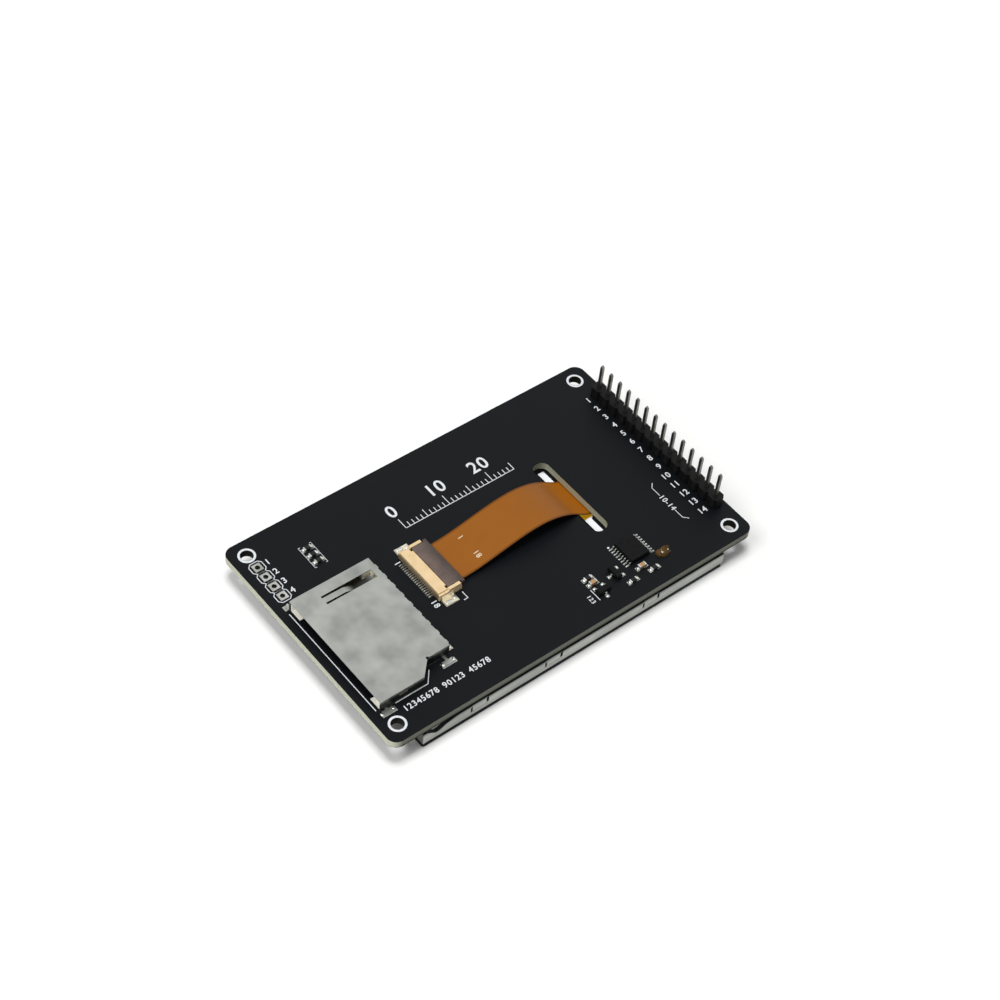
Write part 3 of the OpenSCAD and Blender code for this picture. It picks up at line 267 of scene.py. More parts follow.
def cut_laminate(tree, place):
    """Gives the colour of the board's cut edges, which are resin with thin glass plies.

    It is pale where the board was snapped off and grey where it was routed, made lighter at the ends and
    darker along the long edges by painted light; it has painted shade along the underside, is straw coloured
    in the slot with painted shade round its upper end, and has painted shade in the mounting holes.
    """
    (_, _, z0), (x1, _, _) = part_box("board")
    ply_t, fray_size = 0.2 * MM, 0.25 * MM
    ply = node(tree, "TexWave", {"bands_direction": "Z"}, Vector=place, Scale=WAVE / ply_t, Distortion=1.5)
    fray = node(tree, "TexNoise", Vector=place, Scale=1 / fray_size, Detail=3.0)
    mottle = node(tree, "Math", {"operation": "MULTIPLY"}, n0=ply.outputs["Fac"], n1=fray.outputs["Fac"])
    # Resin and glass of each kind of cut; painted light lightens the snapped tone and darkens the routed
    # one, and the drilled tone is painted shade
    cuts = {"snapped": ("#ced0bd", "#989985"), "routed": ("#74756a", "#505148"),
            "milled": ("#b0b199", "#8a8b76"), "drilled": ("#1d1d18", "#0f0f0d")}
    tones = {cut: node(tree, "Mix", {"data_type": "RGBA"}, n0=mottle.outputs[0],
                       n6=linear(resin), n7=linear(glass)).outputs["Result"]
             for cut, (resin, glass) in cuts.items()}
    axes = node(tree, "SeparateXYZ", Vector=place)
    along = node(tree, "Math", {"operation": "ABSOLUTE"}, n0=axes.outputs["X"])
    across = node(tree, "Math", {"operation": "ABSOLUTE"}, n0=axes.outputs["Y"])
    # Long edges are routed, with painted shade low down, the ends are snapped
    painted_low_shade = node(tree, "MapRange", n0=axes.outputs["Z"], n1=z0 + 0.1 * MM, n2=z0 + 0.6 * MM)
    routed = node(tree, "Mix", {"data_type": "RGBA"}, n0=painted_low_shade.outputs[0],
                  n6=linear("#26261f"), n7=tones["routed"])
    end = node(tree, "MapRange", n0=along.outputs[0], n1=x1 - 2 * MM, n2=x1 - 0.4 * MM)
    outline = node(tree, "Mix", {"data_type": "RGBA"}, n0=end.outputs[0],
                   n6=routed.outputs["Result"], n7=tones["snapped"])
    # The slot is the one cut within slot_x and slot_y of the middle, and has painted shade round its upper
    # end
    slot_x, slot_y = 30 * MM, 15 * MM
    dark_0, dark_1 = 8.4 * MM, 10.4 * MM
    turn = node(tree, "MapRange", n0=axes.outputs["Y"], n1=dark_0, n2=dark_1, n3=0.0, n4=0.75)
    slot = node(tree, "Mix", {"data_type": "RGBA"}, n0=turn.outputs[0],
                n6=tones["milled"], n7=linear("#1b1c18"))
    near_x, near_y = [node(tree, "Math", {"operation": "LESS_THAN"}, n0=off.outputs[0], n1=limit)
                      for off, limit in ((along, slot_x), (across, slot_y))]
    in_slot = node(tree, "Math", {"operation": "MULTIPLY"}, n0=near_x.outputs[0], n1=near_y.outputs[0])
    edge = node(tree, "Mix", {"data_type": "RGBA"}, n0=in_slot.outputs[0],
                n6=outline.outputs["Result"], n7=slot.outputs["Result"])
    # Painted shade: the walls of the mounting holes are near black
    holes = MOUNTS["mounting_holes"]["dims"]
    off_x, off_y = [node(tree, "Math", {"operation": "SUBTRACT"}, n0=off.outputs[0], n1=spacing / 2 * MM)
                    for off, spacing in ((along, holes["spacing_x_mm"]), (across, holes["spacing_y_mm"]))]
    from_hole = node(tree, "CombineXYZ", X=off_x.outputs[0], Y=off_y.outputs[0])
    reach = node(tree, "VectorMath", {"operation": "LENGTH"}, n0=from_hole.outputs[0])
    in_hole = node(tree, "Math", {"operation": "LESS_THAN"}, n0=reach.outputs["Value"],
                   n1=(holes["hole_r_mm"] + 0.1) * MM)
    return node(tree, "Mix", {"data_type": "RGBA"}, n0=in_hole.outputs[0],
                n6=edge.outputs["Result"], n7=tones["drilled"])


def solder_mask_board():
    """Makes the board: satin black solder mask on both faces, bare glass epoxy on every cut edge."""
    (_, _, z0), (_, _, z1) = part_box("board")
    mask_t, thread, peel_size, pool_size = 0.04 * MM, 0.5 * MM, 0.35 * MM, 9 * MM
    mask_roughness, bare_roughness = 0.42, 0.75
    mat, tree, skin, place = blank("solder_mask_on_glass_epoxy", mask_roughness)
    # Glass cloth under the mask: its threads print through very faintly
    warp, weft = [node(tree, "TexWave", {"bands_direction": axis}, Vector=place, Scale=WAVE / thread,
                       Distortion=0.6) for axis in "XY"]
    cloth = node(tree, "Math", {"operation": "ADD"}, n0=warp.outputs["Fac"], n1=weft.outputs["Fac"])
    peel = node(tree, "TexNoise", Vector=place, Scale=1 / peel_size, Detail=2.0)
    relief = node(tree, "Math", {"operation": "MULTIPLY_ADD"}, n0=peel.outputs["Fac"], n1=0.6,
                  n2=cloth.outputs[0])
    pools = node(tree, "TexNoise", Vector=place, Scale=1 / pool_size, Detail=2.0)
    mask = node(tree, "Mix", {"data_type": "RGBA"}, n0=pools.outputs["Fac"],
                n6=linear("#0b0d10"), n7=linear("#0e1114"))
    # The mask is the first few hundredths of a millimetre at both faces
    axes = node(tree, "SeparateXYZ", Vector=place)
    off_middle = node(tree, "Math", {"operation": "SUBTRACT"}, n0=axes.outputs["Z"], n1=(z0 + z1) / 2)
    height = node(tree, "Math", {"operation": "ABSOLUTE"}, n0=off_middle.outputs[0])
    on_face = node(tree, "Math", {"operation": "GREATER_THAN"}, n0=height.outputs[0],
                   n1=(z1 - z0) / 2 - mask_t)
    tint = node(tree, "Mix", {"data_type": "RGBA"}, n0=on_face.outputs[0],
                n6=cut_laminate(tree, place).outputs["Result"], n7=mask.outputs["Result"])
    gloss = node(tree, "MapRange", n0=on_face.outputs[0], n3=bare_roughness, n4=mask_roughness)
    bump = node(tree, "Bump", Strength=0.35, Distance=0.006 * MM, Height=relief.outputs[0])
    tree.links.new(tint.outputs["Result"], skin.inputs["Base Color"])
    tree.links.new(gloss.outputs[0], skin.inputs["Roughness"])
    tree.links.new(bump.outputs[0], skin.inputs["Normal"])
    skin.inputs["Specular IOR Level"].default_value = 0.1
    return mat


def polyimide_flex():
    """Makes the flex: amber film over copper tracks that run along it and show as faint lines."""
    track, tracks_end, rim_w = 0.5 * MM, 4.4 * MM, 0.5 * MM
    dive_0, dive_1 = 14.6 * MM, 16.6 * MM
    middle = (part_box("flex_stiffener")[0][1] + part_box("flex_stiffener")[1][1]) / 2
    half = max(abs(v.co.y - middle) for v in frame["nodes"]["display_flex"].data.vertices if v.co.x < 0)
    mat, tree, skin, place = blank("polyimide_film", 0.34)
    axes = node(tree, "SeparateXYZ", Vector=place)
    across = node(tree, "Math", {"operation": "MULTIPLY_ADD"}, n0=axes.outputs["Y"],
                  n1=2 * pi / track, n2=-2 * pi * middle / track)
    ridge = node(tree, "Math", {"operation": "COSINE"}, n0=across.outputs[0])
    copper = node(tree, "MapRange", {"interpolation_type": "SMOOTHSTEP"}, n0=ridge.outputs[0],
                  n1=-0.35, n2=0.25)
    # Tracks stop short of the film's edge
    from_middle = node(tree, "Math", {"operation": "SUBTRACT"}, n0=axes.outputs["Y"], n1=middle)
    reach = node(tree, "Math", {"operation": "ABSOLUTE"}, n0=from_middle.outputs[0])
    inside = node(tree, "Math", {"operation": "LESS_THAN"}, n0=reach.outputs[0], n1=tracks_end)
    shown = node(tree, "Math", {"operation": "MULTIPLY"}, n0=copper.outputs[0], n1=inside.outputs[0])
    haze = node(tree, "TexNoise", Vector=place, Scale=1 / (3 * MM), Detail=3.0)
    film = node(tree, "Mix", {"data_type": "RGBA"}, n0=haze.outputs["Fac"],
                n6=linear("#844e16"), n7=linear("#91581d"))
    lines = node(tree, "Mix", {"data_type": "RGBA"}, n0=shown.outputs[0],
                 n6=film.outputs["Result"], n7=linear("#8e561d"))
    # Deep orange where bare film dives into the slot and light comes through it
    dive = node(tree, "MapRange", n0=axes.outputs["X"], n1=dive_0, n2=dive_1)
    dived = node(tree, "Mix", {"data_type": "RGBA"}, n0=dive.outputs[0],
                 n6=lines.outputs["Result"], n7=linear("#a05c06"))
    # Cut edges look darker, since the film is seen through its whole width there
    rim = node(tree, "MapRange", n0=reach.outputs[0], n1=half - rim_w, n2=half)
    tint = node(tree, "Mix", {"data_type": "RGBA"}, n0=rim.outputs[0],
                n6=dived.outputs["Result"], n7=linear("#55300a"))
    bump = node(tree, "Bump", Strength=0.06, Distance=0.006 * MM, Height=shown.outputs[0])
    tree.links.new(tint.outputs["Result"], skin.inputs["Base Color"])
    tree.links.new(bump.outputs[0], skin.inputs["Normal"])
    skin.inputs["Specular IOR Level"].default_value = 0.14
    return mat


def touch_screen_film():
    """Makes the touch film: hard coated clear film over a black printed border and an unlit picture."""
    (x0, y0, _), (x1, y1, _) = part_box("front_polariser")
    inset_x, inset_y = 3.2 * MM, 1.92 * MM
    mat, tree, skin, place = blank("hard_coated_film", 0.16)
    axes = node(tree, "SeparateXYZ", Vector=place)
    edges = []
    for axis, low, high, inset in (("X", x0, x1, inset_x), ("Y", y0, y1, inset_y)):
        off = node(tree, "Math", {"operation": "SUBTRACT"}, n0=axes.outputs[axis], n1=(low + high) / 2)
        far = node(tree, "Math", {"operation": "ABSOLUTE"}, n0=off.outputs[0])
        edges.append(node(tree, "Math", {"operation": "LESS_THAN"}, n0=far.outputs[0],
                          n1=(high - low) / 2 - inset))
    picture = node(tree, "Math", {"operation": "MULTIPLY"}, n0=edges[0].outputs[0], n1=edges[1].outputs[0])
    tint = node(tree, "Mix", {"data_type": "RGBA"}, n0=picture.outputs[0],
                n6=linear("#0d0e10"), n7=linear("#3a4046"))
    # The film lies slack on its spacer, so its gloss waves slightly
    wave = node(tree, "TexNoise", Vector=place, Scale=1 / (14 * MM), Detail=1.0)
    bump = node(tree, "Bump", Strength=0.5, Distance=0.05 * MM, Height=wave.outputs["Fac"])
    tree.links.new(tint.outputs["Result"], skin.inputs["Base Color"])
    tree.links.new(bump.outputs[0], skin.inputs["Normal"])
    return mat


FINISH = {
    # Solder mask on glass epoxy: satin and plain on both faces, with plies of laminate on the cut edges
    "mask": solder_mask_board(),
    # Hot air levelled tin: bright, slightly uneven pools
    "tin": speckled("levelled_tin", "#cfd0cb", "#979992", 0.3, 0.25, 0.015, metallic=1.0),
    # Tinned brass of the connector's tabs: paler and warmer, wet with solder
    "tab": speckled("tinned_brass_tab", "#fff5dc", "#dcd2b7", 0.44, 0.25, 0.012, metallic=1.0),
    # Reflowed solder: bright and wavy
    "solder": speckled("reflowed_solder", "#ecede8", "#b2b4af", 0.26, 0.12, 0.02, metallic=1.0),
    # Moulded nylon: dead black with a faint grain that breaks its highlights
    "nylon": speckled("moulded_black_nylon", "#0e0e0f", "#09090a", 0.5, 0.15, 0.006, shine=0.15),
    # Dull tinned brass pins, darker where handled
    "pin": speckled("dull_tinned_brass", "#8a8a83", "#5c5c57", 0.36, 0.2, 0.006, metallic=1.0),
    # Nickel plated sheet: satin, with cloudy stains from reflow, and painted shade, standing for a
    # reflection of the dark board, that darkens it below its top, except at the feet
    "nickel": shade(speckled("nickel_plated_steel", "#b9bbb6", "#8f928e", 0.4, 0.1, 0.002,
                             metallic=1.0, cloud=4.5),
                    "Z", dark=SHELL_TOP - 0.95, light=SHELL_TOP - 0.1, share=0.12,
                    Z=mm_box("card_shell")[0][2] + 0.25),
    # Liquid crystal polymer: matt ivory, with painted shade that darkens it inside the socket and a painted
    # glow at its open ends
    "ivory": glowing(shade(speckled("ivory_liquid_crystal_polymer", "#e6e2cf", "#d6d1ba", 0.5, 0.15, 0.005),
                           "Z", dark=TOP + 0.3, light=SHELL_TOP - 0.35, share=0.12, X=MOUTH_END),
                     level=0.25, end_x=MOUTH_END),
    # Gold flashed spring bronze: bright yellow with soft highlights
    "gold": speckled("gold_flashed_bronze", "#e0bd62", "#c79f47", 0.3, 0.1, 0.003, metallic=1.0),
    # Beige polymer of the connector, matt with pale flow marks, and painted shade that darkens its lower
    # walls, except at its -Y end
    "beige": shade(speckled("beige_liquid_crystal_polymer", "#dfc69e", "#d2b687", 0.48, 0.12, 0.005,
                            cloud=2),
                   "Z", dark=TOP + 0.7, light=mm_box("flex_housing")[1][2] - 0.15, share=0.3,
                   Y=mm_box("flex_housing")[0][1] + 0.3),
    # Grey brown polymer of the flip lever, matt, with painted shade that darkens it towards its edge over
    # the flex
    "lever": shade(speckled("brown_liquid_crystal_polymer", "#66564e", "#4f413c", 0.42, 0.12, 0.005,
                            cloud=2),
                   "X", dark=mm_box("flex_lever")[1][0] - 0.2, light=mm_box("flex_lever")[0][0] + 0.87,
                   share=0.4),
    # Polyimide film: clear orange brown, with a soft gloss along its arch
    "flex": polyimide_flex(),
    # Clear amber tape over white film: bright yellow, with a strong painted glow
    "amber_tape": glowing(speckled("clear_polyimide_tape", "#a5810f", "#8f6a0a", 0.3, 0.4, 0.002, shine=0.3),
                          level=0.95, colour="#94700f"),
    # Thick polyimide of the stiffener: lighter amber
    "stiffener": speckled("amber_polyimide_sheet", "#d19a42", "#bf8632", 0.4, 0.3, 0.003),
    # Moulding compound: charcoal with a matt spark eroded top
    "epoxy": speckled("epoxy_moulding_compound", "#0f0f10", "#0a0a0b", 0.5, 0.08, 0.008, shine=0.1),
    # Glazed resistor back: near black, smoother
    "alumina": speckled("glazed_alumina", "#151518", "#0c0c0e", 0.35, 0.1, 0.003, shine=0.25),
    # Sintered ceramic: warm tan with fine grain
    "ceramic": speckled("sintered_ceramic", "#b8926a", "#94704b", 0.55, 0.08, 0.004),
    # Closed cell foam: black, rough, with open cells on its cut sides
    "foam": speckled("black_pe_foam", "#0b0b0d", "#040405", 0.9, 0.18, 0.08, shine=0.1),
    # Drawn steel can of the display: plain and satin, lightly rubbed, with painted shade that darkens it
    # towards the board
    "can": shade(speckled("drawn_stainless_steel", "#a9aba6", "#90928d", 0.34, 0.12, 0.002,
                          metallic=1.0, cloud=7),
                 "Z", dark=CAN_TOP + 0.1, light=CAN_TOP - 0.9, share=0.35),
    # White polycarbonate of the backlight: clean white, satin
    "white": speckled("white_polycarbonate", "#f3f4f1", "#e8e9e5", 0.5, 0.2, 0.003),
    # The same in the backlight's frame, sealed black along its outside
    "sealed": black_rim(speckled("sealed_white_polycarbonate", "#f3f4f1", "#e8e9e5", 0.5, 0.2, 0.003),
                        "backlight_frame", width=0.6),
    # Reflector film: bright white, smooth, with a faint painted glow
    "film": glowing(speckled("white_reflector_film", "#f6f8fa", "#eceef1", 0.32, 0.3, 0.001), level=0.1),
    # Moulded acrylic light guide: clear and glossy, so nearly white over the reflector
    "acrylic": speckled("clear_acrylic", "#e6eeee", "#dbe5e5", 0.12, 0.3, 0.001),
    # Frosted polyester of the diffuser and prism films: milky and matt
    "frost": speckled("frosted_film", "#eef0ee", "#e2e5e3", 0.6, 0.1, 0.003),
    # Phosphor filled resin: pale yellow, matt
    "led": speckled("phosphor_package", "#f4ebab", "#e6da8c", 0.5, 0.1, 0.003),
    # Stretched polarising film: smoky grey with a soft gloss
    "polariser": speckled("iodine_polariser", "#22262a", "#1a1e21", 0.3, 0.3, 0.001),
    # Thin sheet glass: grey green on its cut edges, very smooth
    "glass": speckled("thin_display_glass", "#5d6c69", "#505e5b", 0.12, 0.3, 0.0005),
    # Ground silicon: dark grey with a dull metallic gloss
    "silicon": speckled("ground_silicon", "#3a3d42", "#2c2f33", 0.3, 0.1, 0.001, metallic=0.6),
    # Black double sided tape: flat black
    "tape": speckled("black_adhesive_tape", "#1d1e20", "#131416", 0.7, 0.2, 0.004),
    # Black silicone that seals the panel's edge: dull and slightly uneven
    "sealant": speckled("black_silicone_sealant", "#070707", "#030303", 0.7, 0.3, 0.01, shine=0.15),
    # Float glass over the dark display: near black and smooth
    "touch_glass": speckled("soda_lime_glass", "#17191b", "#101214", 0.3, 0.3, 0.0005, shine=0.2),
    # Hard coated film: dark and glossy, with a grey picture behind it
    "screen": touch_screen_film(),
    # Screen printed epoxy ink: flat bluish white with a fine grain
    "ink": speckled("printed_epoxy_ink", "#dfe3e6", "#c6cace", 0.65, 0.06, 0.006),
    # The same ink on amber film, which tints it
    "film_ink": speckled("ink_on_polyimide", "#ecdcc4", "#d8c3a4", 0.65, 0.06, 0.006),
    # Dried rosin: dull amber brown, darker where thick
    "flux": speckled("dried_rosin_flux", "#62451e", "#26210f", 0.5, 0.3, 0.01, cloud=1.2, shine=0.16),
    # Broken laminate: straw coloured glass and resin
    "laminate": speckled("broken_glass_epoxy", "#c8c79a", "#8f8c66", 0.8, 0.1, 0.02),
}


# ---- CAD nodes that are shown as they are, with a finish each ----

PLAIN_NODES = {
    "board": "mask", "tinned_pads": "tin",
    "card_contacts_row": "gold", "card_switch_springs": "gold", "flex_contacts": "tin",
    "flex_stiffener": "stiffener", "foam_tape": "foam", "backlight_frame": "sealed",
    "reflector": "film", "light_guide": "acrylic", "diffuser_film": "frost", "prism_films": "frost",
    "led_flex": "white", "leds": "led", "rear_polariser": "polariser", "tft_glass": "glass",
    "filter_glass": "glass", "front_polariser": "polariser", "driver_chip": "silicon",
    "panel_tape": "tape", "touch_glass": "touch_glass", "touch_spacer": "tape",
    "touch_film": "screen",
}

# CAD nodes whose edges are eased: new piece, its finish, its edge radius in mm and its body
EASED_NODES = {
    "header_strip": ("header_strip_moulding", "nylon", 0.12, "module"),
    "header_pins": ("header_pin_row", "pin", 0.07, "module"),
    "card_shell": ("card_socket_shell", "nickel", 0.07, "module"),
    "card_base": ("card_socket_base", "ivory", 0.06, "module"),
    "flex_housing": ("connector_housing", "beige", 0.04, "module"),
    "flex_hold_downs": ("connector_tabs", "tab", 0.04, "module"),
    "flex_lever": ("connector_lever", "lever", 0.06, "lever"),
    "display_flex": ("display_flex_film", "flex", 0.0, "module"),
    "touch_flex": ("touch_flex_film", "flex", 0.0, "module"),
    "touch_controller": ("touch_controller_body", "epoxy", 0.07, "module"),
    "controller_leads": ("controller_gull_wings", "tin", 0.03, "module"),
    "transistors": ("transistor_bodies", "epoxy", 0.06, "module"),
    "transistor_leads": ("transistor_gull_wings", "tin", 0.03, "module"),
    "resistor_bodies": ("resistor_chips", "alumina", 0.04, "module"),
    "capacitor_bodies": ("capacitor_chips", "ceramic", 0.08, "module"),
    "chip_terminals": ("chip_end_caps", "solder", 0.09, "module"),
    "steel_frame": ("display_can", "can", 0.07, "module"),
}


def only(piece):
    """Selects one object and nothing else."""
    bpy.ops.object.select_all(action="DESELECT")
    piece.select_set(True)
    bpy.context.view_layer.objects.active = piece


def link(name, data):
    """Adds an object to the scene and selects it alone."""
    piece = bpy.data.objects.new(name, data)
    bpy.context.scene.collection.objects.link(piece)
    only(piece)
    return piece


def dress(piece, finish):
    """Gives a piece one finish."""
    piece.data.materials.clear()
    piece.data.materials.append(FINISH[finish])


def carry(piece, name, finish, body="module"):
    """Names a new piece, dresses it and lets it ride on its body."""
    piece.name = name
    piece.data.name = name
    dress(piece, finish)
    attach(piece, body)


# Points of a CAD node that lie closer than this in mm are one point
WELD = 0.0005
# Angles in degrees: up to which faces are one face, from which an edge is rounded, and up to which it
# is shaded smooth
FLAT_ANGLE, ROUNDED_ANGLE, SMOOTH_ANGLE = 0.5, 40, 35


def ease(name, piece_name, finish, radius, body):
    """Lets a copy with rounded edges stand for a CAD node."""
    copy = link(piece_name, frame["nodes"][name].data.copy())
    bpy.ops.mesh.customdata_custom_splitnormals_clear()
    bpy.ops.object.mode_set(mode="EDIT")
    bpy.ops.mesh.select_all(action="SELECT")
    bpy.ops.mesh.remove_doubles(threshold=WELD * MM)
    bpy.ops.mesh.dissolve_limited(angle_limit=radians(FLAT_ANGLE))
    bpy.ops.object.mode_set(mode="OBJECT")
    if radius:
        bevel = copy.modifiers.new("eased_edges", "BEVEL")
        bevel.width = radius * MM
        bevel.segments = 2
        bevel.limit_method = "ANGLE"
        bevel.angle_limit = radians(ROUNDED_ANGLE)
        bpy.ops.object.modifier_apply(modifier=bevel.name)
    bpy.ops.object.shade_smooth_by_angle(angle=radians(SMOOTH_ANGLE))
    flat = copy.modifiers.new("flat_faces", "WEIGHTED_NORMAL")
    flat.keep_sharp = True
    bpy.ops.object.modifier_apply(modifier=flat.name)
    carry(copy, piece_name, finish, body)
    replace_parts(copy, name)


# ---- Tools for new pieces ----

def settle(piece):
    """Moves a piece's place, turn and scale into its mesh."""
    only(piece)
    bpy.ops.object.transform_apply(location=True, rotation=True, scale=True)
    return piece


def copy_at(pattern, place, size=(1, 1, 1), turn=0.0):
    """Sets a copy of a modelled pattern, with a mesh of its own, at a place in mm."""
    twin = link(pattern.name, pattern.data.copy())
    twin.location = [c * MM for c in place]
    twin.scale = size
    twin.rotation_euler.z = turn
    return settle(twin)


def join(parts, name, finish):
    """Makes one finished piece of several parts."""
    bpy.ops.object.select_all(action="DESELECT")
    for part in parts:
        part.select_set(True)
    bpy.context.view_layer.objects.active = parts[0]
    if len(parts) > 1:
        bpy.ops.object.join()
    carry(parts[0], name, finish)
    return parts[0]


def drop(part):
    """Throws away a pattern or a helper once it has served."""
    bpy.data.objects.remove(part, do_unlink=True)


def solids(name):
    """Gives the lowest and highest corner in mm of each solid of a CAD node."""
    link("solid", frame["nodes"][name].data.copy())
    bpy.ops.object.mode_set(mode="EDIT")
    bpy.ops.mesh.select_all(action="SELECT")
    bpy.ops.mesh.remove_doubles(threshold=WELD * MM)
    bpy.ops.mesh.separate(type="LOOSE")
    bpy.ops.object.mode_set(mode="OBJECT")
    boxes = []
    for part in bpy.context.selected_objects:
        axes = list(zip(*(vert.co / MM for vert in part.data.vertices)))
        boxes.append(([min(axis) for axis in axes], [max(axis) for axis in axes]))
        drop(part)
    return boxes


# ---- Printing on the board ----

INK_T = 0.025
LINE_W = 0.2
# Height of a capital as a share of the size of its letters
CAPITAL = 0.7
# Pitch and number of the header's pins
PITCH = 2.54
PINS = 14


def wire(points, width, closed=False, upright=0.0):
    """Models a wire run through the points in mm, or a band that stands upright to a height."""
    curve = bpy.data.curves.new("wire", "CURVE")
    curve.dimensions = "3D"
    curve.bevel_depth = width / 2 * MM
    curve.bevel_resolution = 1
    curve.extrude = max(0, upright - width) / 2 * MM
    curve.use_fill_caps = True
    run = curve.splines.new("POLY")
    run.points.add(len(points) - 1)
    run.use_cyclic_u = closed
    for knot, (x, y) in zip(run.points, points):
        knot.co = (x * MM, y * MM, 0, 1)
    piece = link("wire", curve)
    bpy.ops.object.convert(target="MESH")
    return piece


def ink_line(points, width=LINE_W, closed=False):
    """Prints one line: a wire pressed flat on the board."""
    line = wire(points, width, closed)
    line.scale.z = 2 * INK_T / width
    line.location.z = TOP * MM
    return settle(line)


def ink_ring(x, y, inner, outer):
    """Prints a ring round a hole."""
    bpy.ops.mesh.primitive_torus_add(
        location=(x * MM, y * MM, TOP * MM), major_segments=56, minor_segments=8,
        major_radius=(inner + outer) / 2 * MM, minor_radius=(outer - inner) / 2 * MM)
    ring = bpy.context.object
    ring.scale.z = 2 * INK_T / (outer - inner)
    return settle(ring)


def ink_disc(x, y, radius, corners=20, turn=0.0):
    """Prints a solid dot, or a triangle or square where it has few corners."""
    bpy.ops.mesh.primitive_cylinder_add(vertices=corners, radius=radius * MM, depth=2 * INK_T * MM,
                                        location=(x * MM, y * MM, TOP * MM), rotation=(0, 0, turn))
    disc = settle(bpy.context.object)
    slope = 0.7 * INK_T
    bpy.ops.object.mode_set(mode="EDIT")
    bpy.ops.mesh.select_all(action="SELECT")
    bpy.ops.mesh.bevel(offset=slope * MM, segments=1)
    bpy.ops.object.mode_set(mode="OBJECT")
    return disc


def ink_number(digits, x, y, height, align="CENTER", turn=0.0, thick=INK_T):
    """Prints a plain number whose middle or edge is at x and whose middle height is at y."""
    bpy.ops.object.text_add()
    label = bpy.context.object
    label.data.body = str(digits)
    label.data.size = height / CAPITAL * MM
    label.data.space_character = 1.12
    label.data.align_x = align
    label.data.align_y = "CENTER"
    label.data.offset = 0.02 * height * MM
    label.data.resolution_u = 4
    label.data.extrude = thick * MM
    bpy.ops.object.convert(target="MESH")
    label = bpy.context.object
    label.location = (x * MM, y * MM, TOP * MM)
    label.rotation_euler.z = turn
    return settle(label)


def print_hole_rings():
    """Prints a broad ring round each mounting hole."""
    holes = MOUNTS["mounting_holes"]["dims"]
    half_x, half_y = holes["spacing_x_mm"] / 2, holes["spacing_y_mm"] / 2
    inner = holes["hole_r_mm"] + 0.03
    outer = inner + 0.43
    rings = [ink_ring(x, y, inner, outer) for x in (-half_x, half_x) for y in (-half_y, half_y)]
    join(rings, "printed_hole_rings", "ink")


def print_side_header():
    """Prints the eight sided frames and the numbers 1 to 4 of the free holes."""
    x, y, _ = (c / MM for c in MOUNTS["side_header"]["pos_m"])
    half_x, half_y, cut = PITCH / 2 + 0.08, PITCH / 2, 0.55
    corners = [(-half_x, cut - half_y), (cut - half_x, -half_y), (half_x - cut, -half_y),
               (half_x, cut - half_y), (half_x, half_y - cut), (half_x - cut, half_y),
               (cut - half_x, half_y), (-half_x, half_y - cut)]
    marks = []
    for i in range(4):
        row_y = y + (1.5 - i) * PITCH
        marks.append(ink_line([(x + dx, row_y + dy) for dx, dy in corners], closed=True))
        marks.append(ink_number(i + 1, x + 1.75, row_y + 0.05, height=1.25, align="LEFT"))
    join(marks, "printed_side_header", "ink")


def print_socket_outline():
    """Prints the line round the card socket, with its step, and the triangle by its first corner."""
    (x0, y0, _), (_, y1, _) = mm_box("card_base")
    side, low = x0 - 0.65, y0 - 0.28
    step_x, step_end, step_rise = x0 + 9.9, x0 + 11.81, 2.204
    marks = [ink_line([(side, y1 - 0.45), (side, low + 0.55)]),
             ink_line([(x0 + 3, low), (step_x, low), (step_end, low + step_rise)]),
             ink_disc(x0 + 0.05, y1 + 1.05, radius=0.75, corners=3, turn=radians(-30))]
    join(marks, "printed_socket_outline", "ink")


def print_connector_marks():
    """Prints the first and last contact number and a corner mark at the ends of the flex connector."""
    (x0, y0, _), (x1, y1, _) = mm_box("flex_housing")
    far, side = y0 - 2.2, x1 - 0.35
    marks = [ink_number(1, x0 - 0.9, y1 - 1.0, height=1.15, turn=-pi / 2),
             ink_number(18, x0 - 0.95, y0 - 0.05, height=1.15, turn=-pi / 2),
             ink_line([(side, far + 1.65), (side, far), (side - 0.9, far)], width=0.22)]
    join(marks, "printed_connector_marks", "ink")


def print_part_marks():
    """Prints the brackets of the resistor row, the chip's dot, and a line and number by a transistor."""
    marks = []
    # The row is the three resistors nearest the socket's end of the board
    row = sorted(solids("resistor_bodies"))[:3]
    middle = (row[0][0][0] + row[0][1][0]) / 2
    low = min(corner[1] for corner, _ in row) - 0.5
    high = max(corner[1] for _, corner in row) + 0.55
    for side in (-1, 1):
        bar = middle + side * 1.35
        hook = bar - side * 0.35
        marks.append(ink_line([(hook, high), (bar, high), (bar, low), (hook, low)], width=0.14))
    (x0, _, _), (_, y1, _) = mm_box("touch_controller")
    marks.append(ink_disc(x0 - 0.85, y1 + 0.4, radius=0.22))
    (x0, y0, _), (_, y1, _) = min(solids("transistors"))
    marks.append(ink_line([(x0 - 0.2, y1 + 0.85), (x0 - 0.2, y0 - 0.55)]))
    marks.append(ink_number(123, x0 - 1.5, y0 + 0.45, height=0.85, turn=-pi / 2))
    join(marks, "printed_part_marks", "ink")


